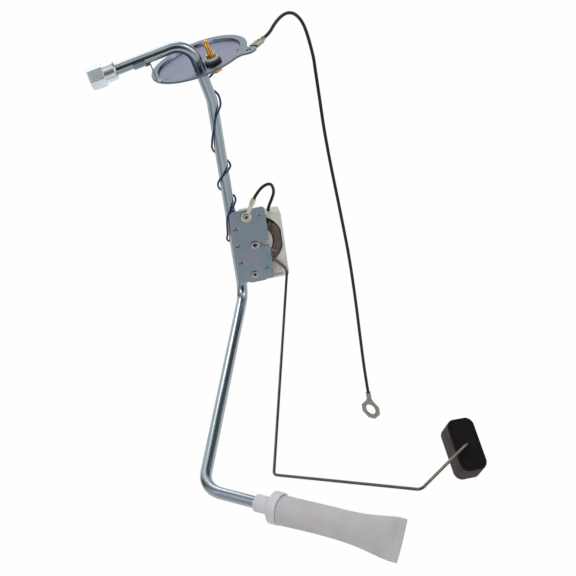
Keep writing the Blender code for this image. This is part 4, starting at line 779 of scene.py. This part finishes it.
def signal_wire(material):
    lug = Matrix.Translation(LUG_END) @ Matrix.Rotation(LUG_ANGLE, 4, "Z")
    route = [(lug @ Vector((LUG_REACH, 0.0, 0.0))) * MM]
    route += [Vector(point) * MM for point in SIGNAL_START]
    route += [around_tube(along * MM, math.radians(angle), out * MM) for along, angle, out in SIGNAL_ROUTE]
    round_wire("signal_wire", "signal_cable", smooth_line(route), SIGNAL_RADIUS, material)


def jumper_wire(material):
    path = smooth_line([SENDER @ (Vector(point) * MM) for point in JUMPER_ROUTE])
    round_wire("jumper_wire", "jumper_cable", path, JUMPER_RADIUS, material)


# Tube and arm

def drawn_tube(material):
    """The pickup tube with its wall, round at every bend."""
    end = FOOT_CORNER + FOOT_DIRECTION * FOOT_LENGTH
    corners = [(BAR_END_X, TUBE_Y, BAR_HEIGHT), (TUBE_X, TUBE_Y, BAR_HEIGHT)]
    corners += [KINK, LOW_CORNER, FOOT_CORNER, end]
    path = bent_path(corners, [TOP_BEND, KINK_BEND, LOW_BEND, FOOT_BEND], TUBE_FACET)
    path.insert(1, path[0] + Vector((FLARE_LENGTH, 0.0, 0.0)))
    outer = [FLARE_RADIUS] + [TUBE_RADIUS] * (len(path) - 1)
    inner = [radius - TUBE_WALL for radius in outer]
    rings = along_path(path, outer, TUBE_SIDES) + list(reversed(along_path(path, inner, TUBE_SIDES)))
    piece = new_piece("drawn_tube", skin(rings, closed=True), material)
    stand_for(piece, "sender_body", "zinc_tube", "fuel_tube")


def float_normal():
    """Direction out of the float's front face, along the pin in it."""
    run = ARM_TIP.normalized()
    level = Vector((run.y, -run.x, 0.0)).normalized()
    return level * math.cos(FLOAT_TILT) + Vector((0, 0, 1)) * math.sin(FLOAT_TILT)


def arm_corners():
    """The arm's wire: its start in the rotor, its four bends and its end in the float."""
    out = UPRIGHT.to_3x3() @ Vector((math.cos(ARM_ANGLE), 0.0, math.sin(ARM_ANGLE)))
    centre = SENDER.translation + Vector((0.0, ARM_DEPTH, 0.0))
    knee = centre + out * ARM_LEG
    elbow = knee + ARM_REACH
    wrist = elbow + ARM_CROSS
    tip = wrist + ARM_TIP
    return [centre + out * ARM_START, knee, elbow, wrist, tip, tip - float_normal() * FLOAT_PIN]


def arm_wire(material):
    path = bent_path(arm_corners(), [ARM_BEND] * 4, ARM_FACET)
    round_wire("arm_wire", "float_arm_wire", path, ARM_RADIUS, material, sides=ARM_SIDES)


# Stud

def threaded_stud(material):
    """The brass stud with its thread, which fades out at both ends."""
    low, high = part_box("terminal_stud")
    centre = (low + high) / 2
    length = high.z - low.z
    steps = round(length / THREAD_PITCH * THREAD_STEPS)
    rings = []
    for step in range(steps + 1):
        z = length * step / steps
        fade = min(1.0, z / THREAD_RUNOUT, (length - z) / THREAD_RUNOUT)
        ring = []
        for side in range(STUD_SIDES):
            phase = (z / THREAD_PITCH - side / STUD_SIDES) % 1.0
            groove = abs(2 * phase - 1) * THREAD_DEPTH * fade + (1 - fade) * THREAD_DEPTH
            radius = STUD_RADIUS - groove
            angle = TURN * side / STUD_SIDES
            ring.append(Vector((centre.x + radius * math.cos(angle), centre.y + radius * math.sin(angle),
                                low.z + z)))
        rings.append(ring)
    piece = new_piece("threaded_stud", skin(rings, caps=True), material, sharp=math.radians(50.0))
    stand_for(piece, "sender_body", "brass", "terminal_stud")


# Rivets

def rivet_profile(front, back, bore, shank, head, tail, thick):
    """Radius and depth: up the bore, over the flared mouth and the lip, and down the shank to the tail."""
    mouth = bore + RIVET_MOUTH * (head - bore)
    inside = [(bore, back), (bore, front + 2 * thick), (bore + RIVET_MOUTH_START, front + thick),
              ((bore + mouth) / 2, front + 0.45 * thick), (mouth, front + 0.1 * thick)]
    lip = [(mouth + RIVET_LIP, front), (head - RIVET_EDGE, front),
           (head - 0.3 * RIVET_EDGE, front + 0.15 * thick), (head, front + 0.5 * thick)]
    outside = [(head, front + thick), (shank, front + thick), (shank, back - thick), (tail, back - thick),
               (tail, back), (bore, back)]
    return inside + lip + outside


def rolled_rivet(node, material, sizes):
    """A tubular rivet along Y: a rolled front lip with a flared mouth, and its spread tail at the back."""
    low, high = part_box(node)
    centre = (low + high) / 2
    turns = [TURN * side / RIVET_SIDES for side in range(RIVET_SIDES)]
    rings = []
    for radius, y in rivet_profile(low.y, high.y, *sizes):
        rings.append([Vector((centre.x + radius * math.cos(turn), y, centre.z + radius * math.sin(turn)))
                      for turn in turns])
    piece = new_piece(node + "_plated", skin(rings), material, sharp=math.radians(40.0))
    stand_for(piece, "sender_body", "rivet_steel", node)


# Resistor

def wound_resistor(material):
    """The card under its winding: each turn of wire is a ridge across its face and over its edges."""
    thick = CARD_BACK - CARD_FRONT
    steps = WINDING_TURNS * WINDING_STEPS
    seat = SENDER @ Matrix.Translation((0, CARD_BACK, 0)) @ FACING
    section = [(CARD_INNER, 0.0), (CARD_OUTER, 0.0), (CARD_OUTER, thick), (CARD_INNER, thick)]
    middle = ((CARD_INNER + CARD_OUTER) / 2, thick / 2)
    rings = []
    for step in range(steps + 1):
        angle = CARD_HALF_ANGLE * (2 * step / steps - 1)
        dip = WINDING_DEPTH * (0.5 - 0.5 * math.cos(TURN * step / WINDING_STEPS))
        ring = []
        for radius, height in section:
            r = radius - math.copysign(dip, radius - middle[0])
            h = height - math.copysign(dip, height - middle[1])
            ring.append(seat @ Vector((r * math.cos(angle), r * math.sin(angle), h)))
        rings.append(ring)
    piece = new_piece("wound_resistor", skin(rings, caps=True), material)
    stand_for(piece, "sender_body", "resistance_winding", "resistor_card")


# Strainer

def foot_frame(along):
    """Frame on the tube's foot: +Z along it, +X over the width of the strainer's flat end."""
    side = FOOT_DIRECTION.cross(Vector((0, 0, 1))).normalized()
    up = side.cross(FOOT_DIRECTION)
    across = side * math.cos(SOCK_ROLL) - up * math.sin(SOCK_ROLL)
    third = FOOT_DIRECTION.cross(across)
    turn = Matrix((across, third, FOOT_DIRECTION)).transposed().to_4x4()
    return Matrix.Translation(FOOT_CORNER + FOOT_DIRECTION * along) @ turn


def sock_section(share):
    """Half width, half thickness and how flat it is pressed: round at first, then flat to the seam."""
    press = min(1.0, max(0.0, share - SOCK_ROUND_TO) / (SOCK_SEAM_FROM - SOCK_ROUND_TO)) ** SOCK_PINCH
    thick = SOCK_RADIUS + (SOCK_END_THICK / 2 - SOCK_RADIUS) * press
    return math.sqrt(2 * SOCK_RADIUS ** 2 - thick ** 2), thick, press


def stitches(share):
    """How deep the two stitch lines of the welded end press in."""
    lines = [math.exp(-((share - line) / STITCH_WIDTH) ** 2) for line in STITCH_LINES]
    return sum(lines) * STITCH_DEPTH


def sock_fold(share, press, angle, x, y, z):
    """How far the mesh stands out here: soft sags, puckers at the collar, creases, less the stitches."""
    sag = noise.noise(Vector((x * SAG_ACROSS, y * SAG_ACROSS, z * SAG_ALONG)))
    face = math.copysign(CREASE_APART, y)
    crease = noise.noise(Vector((x * CREASE_ACROSS, face, z * CREASE_ALONG)))
    fold = sag * (1 - press) * SAG_DEPTH
    fold += math.exp(-share / PUCKER_REACH) * PUCKER_DEPTH * math.cos(PUCKERS * angle)
    fold += 4 * press * (1 - press) * CREASE_DEPTH * crease
    return fold - stitches(share) * abs(math.sin(angle))


def woven_sock(material):
    """The strainer's bag, round at the collar and pressed flat at its far end."""
    seat = foot_frame(COLLAR_START + NECK_LENGTH + CUP_LENGTH + GAP)
    rings = []
    for step in range(SOCK_STEPS + 1):
        share = step / SOCK_STEPS
        width, thick, press = sock_section(share)
        z = SOCK_LENGTH * share
        ring = []
        for side in range(SOCK_SIDES):
            angle = TURN * side / SOCK_SIDES
            x, y = width * math.cos(angle), thick * math.sin(angle)
            out = Vector((math.cos(angle) * thick, math.sin(angle) * width, 0)).normalized()
            ring.append(seat @ (Vector((x, y, z)) + out * sock_fold(share, press, angle, x, y, z)))
        rings.append(ring)
    piece = new_piece("woven_sock", skin(rings, caps=True), material, sharp=math.radians(70.0))
    stand_for(piece, "sender_body", "sock_mesh", "filter_sock")


# Float

def float_frame():
    """Centre of the float; +Z out of its front face, +Y along its length."""
    normal = float_normal()
    run = ARM_TIP.normalized()
    cross = normal.cross(run)
    length = (-run * math.sin(FLOAT_TURN) - cross * math.cos(FLOAT_TURN)).normalized()
    turn = Matrix((length.cross(normal), length, normal)).transposed().to_4x4()
    centre = arm_corners()[-2] - normal * (FLOAT_STANDOFF + FLOAT_THICK / 2)
    return Matrix.Translation(centre) @ turn


def float_outline(inset):
    """A long outline with round corners and slightly bowed ends, this far inside the float's side."""
    corner = FLOAT_CORNER - inset
    reach_x = FLOAT_WIDTH / 2 - FLOAT_CORNER
    reach_y = FLOAT_LENGTH / 2 - FLOAT_CORNER - FLOAT_BOW
    outline = []
    for side in range(FLOAT_SIDES):
        angle = TURN * side / FLOAT_SIDES
        x = math.copysign(reach_x, math.cos(angle)) + corner * math.cos(angle)
        y = math.copysign(reach_y, math.sin(angle)) + corner * math.sin(angle)
        bow = FLOAT_BOW * (1 - min(1.0, abs(x) / (reach_x + corner)) ** 2)
        outline.append((x, y + math.copysign(bow, y)))
    return outline


def float_block(painted_sheen_side_material, face_material):
    """Block of foam with moulded faces: a line inside the rim of each face and a soft round edge."""
    seat = float_frame()
    line = [(FLOAT_LINE_IN + FLOAT_LINE_HALF, 0.0), (FLOAT_LINE_IN, FLOAT_LINE_DEPTH),
            (FLOAT_LINE_IN - FLOAT_LINE_HALF, 0.0)]
    edge = [(inset * FLOAT_EDGE, drop * FLOAT_EDGE) for inset, drop in FLOAT_EDGE_CURVE]
    front = [(inset, FLOAT_THICK / 2 - drop) for inset, drop in line + edge]
    rings = []
    for inset, height in front + [(inset, -height) for inset, height in reversed(front)]:
        rings.append([seat @ Vector((x, y, height)) for x, y in float_outline(inset)])
    piece = new_piece("float_foam", skin(rings, caps=True), painted_sheen_side_material, sharp=math.radians(50.0))
    # Painted sheen: the sides take a lighter copy of the black foam, for light grazing them; the front and
    # back faces keep the foam's own near-black
    piece.data.materials.append(face_material)
    normal = seat.to_3x3() @ Vector((0, 0, 1))
    for face in piece.data.polygons:
        face.material_index = int(abs(face.normal.dot(normal)) > 0.5)
    stand_for(piece, "float", "float_nitrile", "float_block")


# The whole object

def dress_flange():
    dress("flange_plate", "flange_plate_plated", zinc_plate(), edge=0.15 * MM)
    drawn_tube(zinc_tube())
    dress("tube_clip", "tube_clip_plated", zinc_bracket(), edge=0.12 * MM)
    braze = steel("braze", srgb(176, 170, 150), srgb(196, 190, 172), 2 * MM, 0.3, 0.5)
    dress("braze_ring", "braze_fillet", braze)
    dress("tube_nut", "tube_nut_plated", turned_zinc(), edge=0.2 * MM)


def dress_stud():
    dull = rubber("gasket_rubber", srgb(22, 22, 23), srgb(34, 34, 36), 2 * MM, 0.6)
    dress("stud_gasket", "gasket_rubber", dull, edge=0.15 * MM)
    dress("lower_insulator", "insulator_moulding", dull, edge=0.15 * MM)
    grey_nylon = nylon("grey_nylon", srgb(172, 174, 180), srgb(190, 192, 196))
    dress("insulator_washer", "washer_nylon", grey_nylon, edge=0.12 * MM)
    yellow = brass()
    threaded_stud(yellow)
    dress("stud_nut", "stud_nut_brass", yellow, edge=0.2 * MM)
    dress("lower_nut", "lower_nut_brass", yellow, edge=0.2 * MM)


def dress_sender():
    bracket = zinc_bracket()
    white = nylon("housing_nylon", srgb(200, 198, 190), srgb(214, 212, 205))
    tin = steel("tin", srgb(188, 180, 164), srgb(216, 210, 198), 1.5 * MM, 0.22, 0.4)
    rivet = steel("rivet_steel", srgb(158, 156, 154), srgb(186, 184, 182), 1.2 * MM, 0.2, 0.34)
    dress("sender_bracket", "sender_bracket_plated", bracket, edge=0.12 * MM)
    dress("sender_housing", "sender_housing_moulded", white, edge=0.25 * MM)
    wound_resistor(winding())
    clip = steel("dull_clip", srgb(84, 78, 72), srgb(104, 98, 90), 1.5 * MM, 0.3, 0.45)
    dress("resistor_clip", "resistor_clip_tinned", clip, edge=0.1 * MM)
    rolled_rivet("upper_rivet", rivet, RIVET_SIZES)
    rolled_rivet("lower_rivet", rivet, RIVET_SIZES)
    rolled_rivet("pivot_bushing", rivet, PIVOT_SIZES)
    dress("jumper_terminal", "jumper_terminal_tinned", tin, edge=0.1 * MM)
    jumper_wire(insulation("black_insulation_jumper", srgb(16, 16, 17), srgb(28, 28, 30)))
    dress("signal_terminal", "signal_terminal_tinned", tin, edge=0.1 * MM)
    signal_wire(insulation("blue_insulation", srgb(20, 32, 88), srgb(32, 46, 108)))


def dress_arm():
    arm_wire(steel("arm_steel", srgb(96, 87, 82), srgb(110, 101, 95), 9 * MM, 0.16, 0.26))
    rotor = nylon("rotor_nylon", srgb(196, 194, 188), srgb(210, 208, 203))
    dress("rotor", "rotor_moulded", rotor, edge=0.12 * MM)
    bronze = steel("bronze", srgb(104, 94, 80), srgb(124, 112, 96), 1.5 * MM, 0.28, 0.42)
    dress("wiper_contact", "wiper_bronze", bronze)
    # The sides' lighter brown-grey is painted sheen from grazing light, over the foam's own near-black
    side = float_rubber("foam_side_painted_sheen", srgb(66, 58, 60), srgb(88, 78, 79))
    float_block(side, float_rubber("foam_face", srgb(15, 13, 13), srgb(24, 21, 21)))


def dress_strainer():
    collar = nylon("collar_nylon", srgb(200, 200, 207), srgb(212, 212, 217))
    dress("filter_collar", "filter_collar_moulded", collar, edge=0.2 * MM)
    woven_sock(woven_mesh())


def dress_ground():
    tin = steel("tin_terminal", srgb(140, 132, 118), srgb(178, 170, 156), 1.6 * MM, 0.18, 0.34)
    dress("spade_connector", "spade_connector_tinned", tin, edge=0.15 * MM)
    metal = steel("ring_metal", srgb(122, 119, 112), srgb(142, 138, 130), 2.5 * MM, 0.22, 0.36)
    dress("ring_terminal", "ring_terminal_tinned", metal, edge=0.15 * MM)
    ground_lead(insulation("black_insulation", srgb(15, 15, 16), srgb(27, 27, 29)))


make_studio()
dress_ground()
dress_flange()
dress_stud()
dress_sender()
dress_arm()
dress_strainer()

bpy.context.view_layer.update()
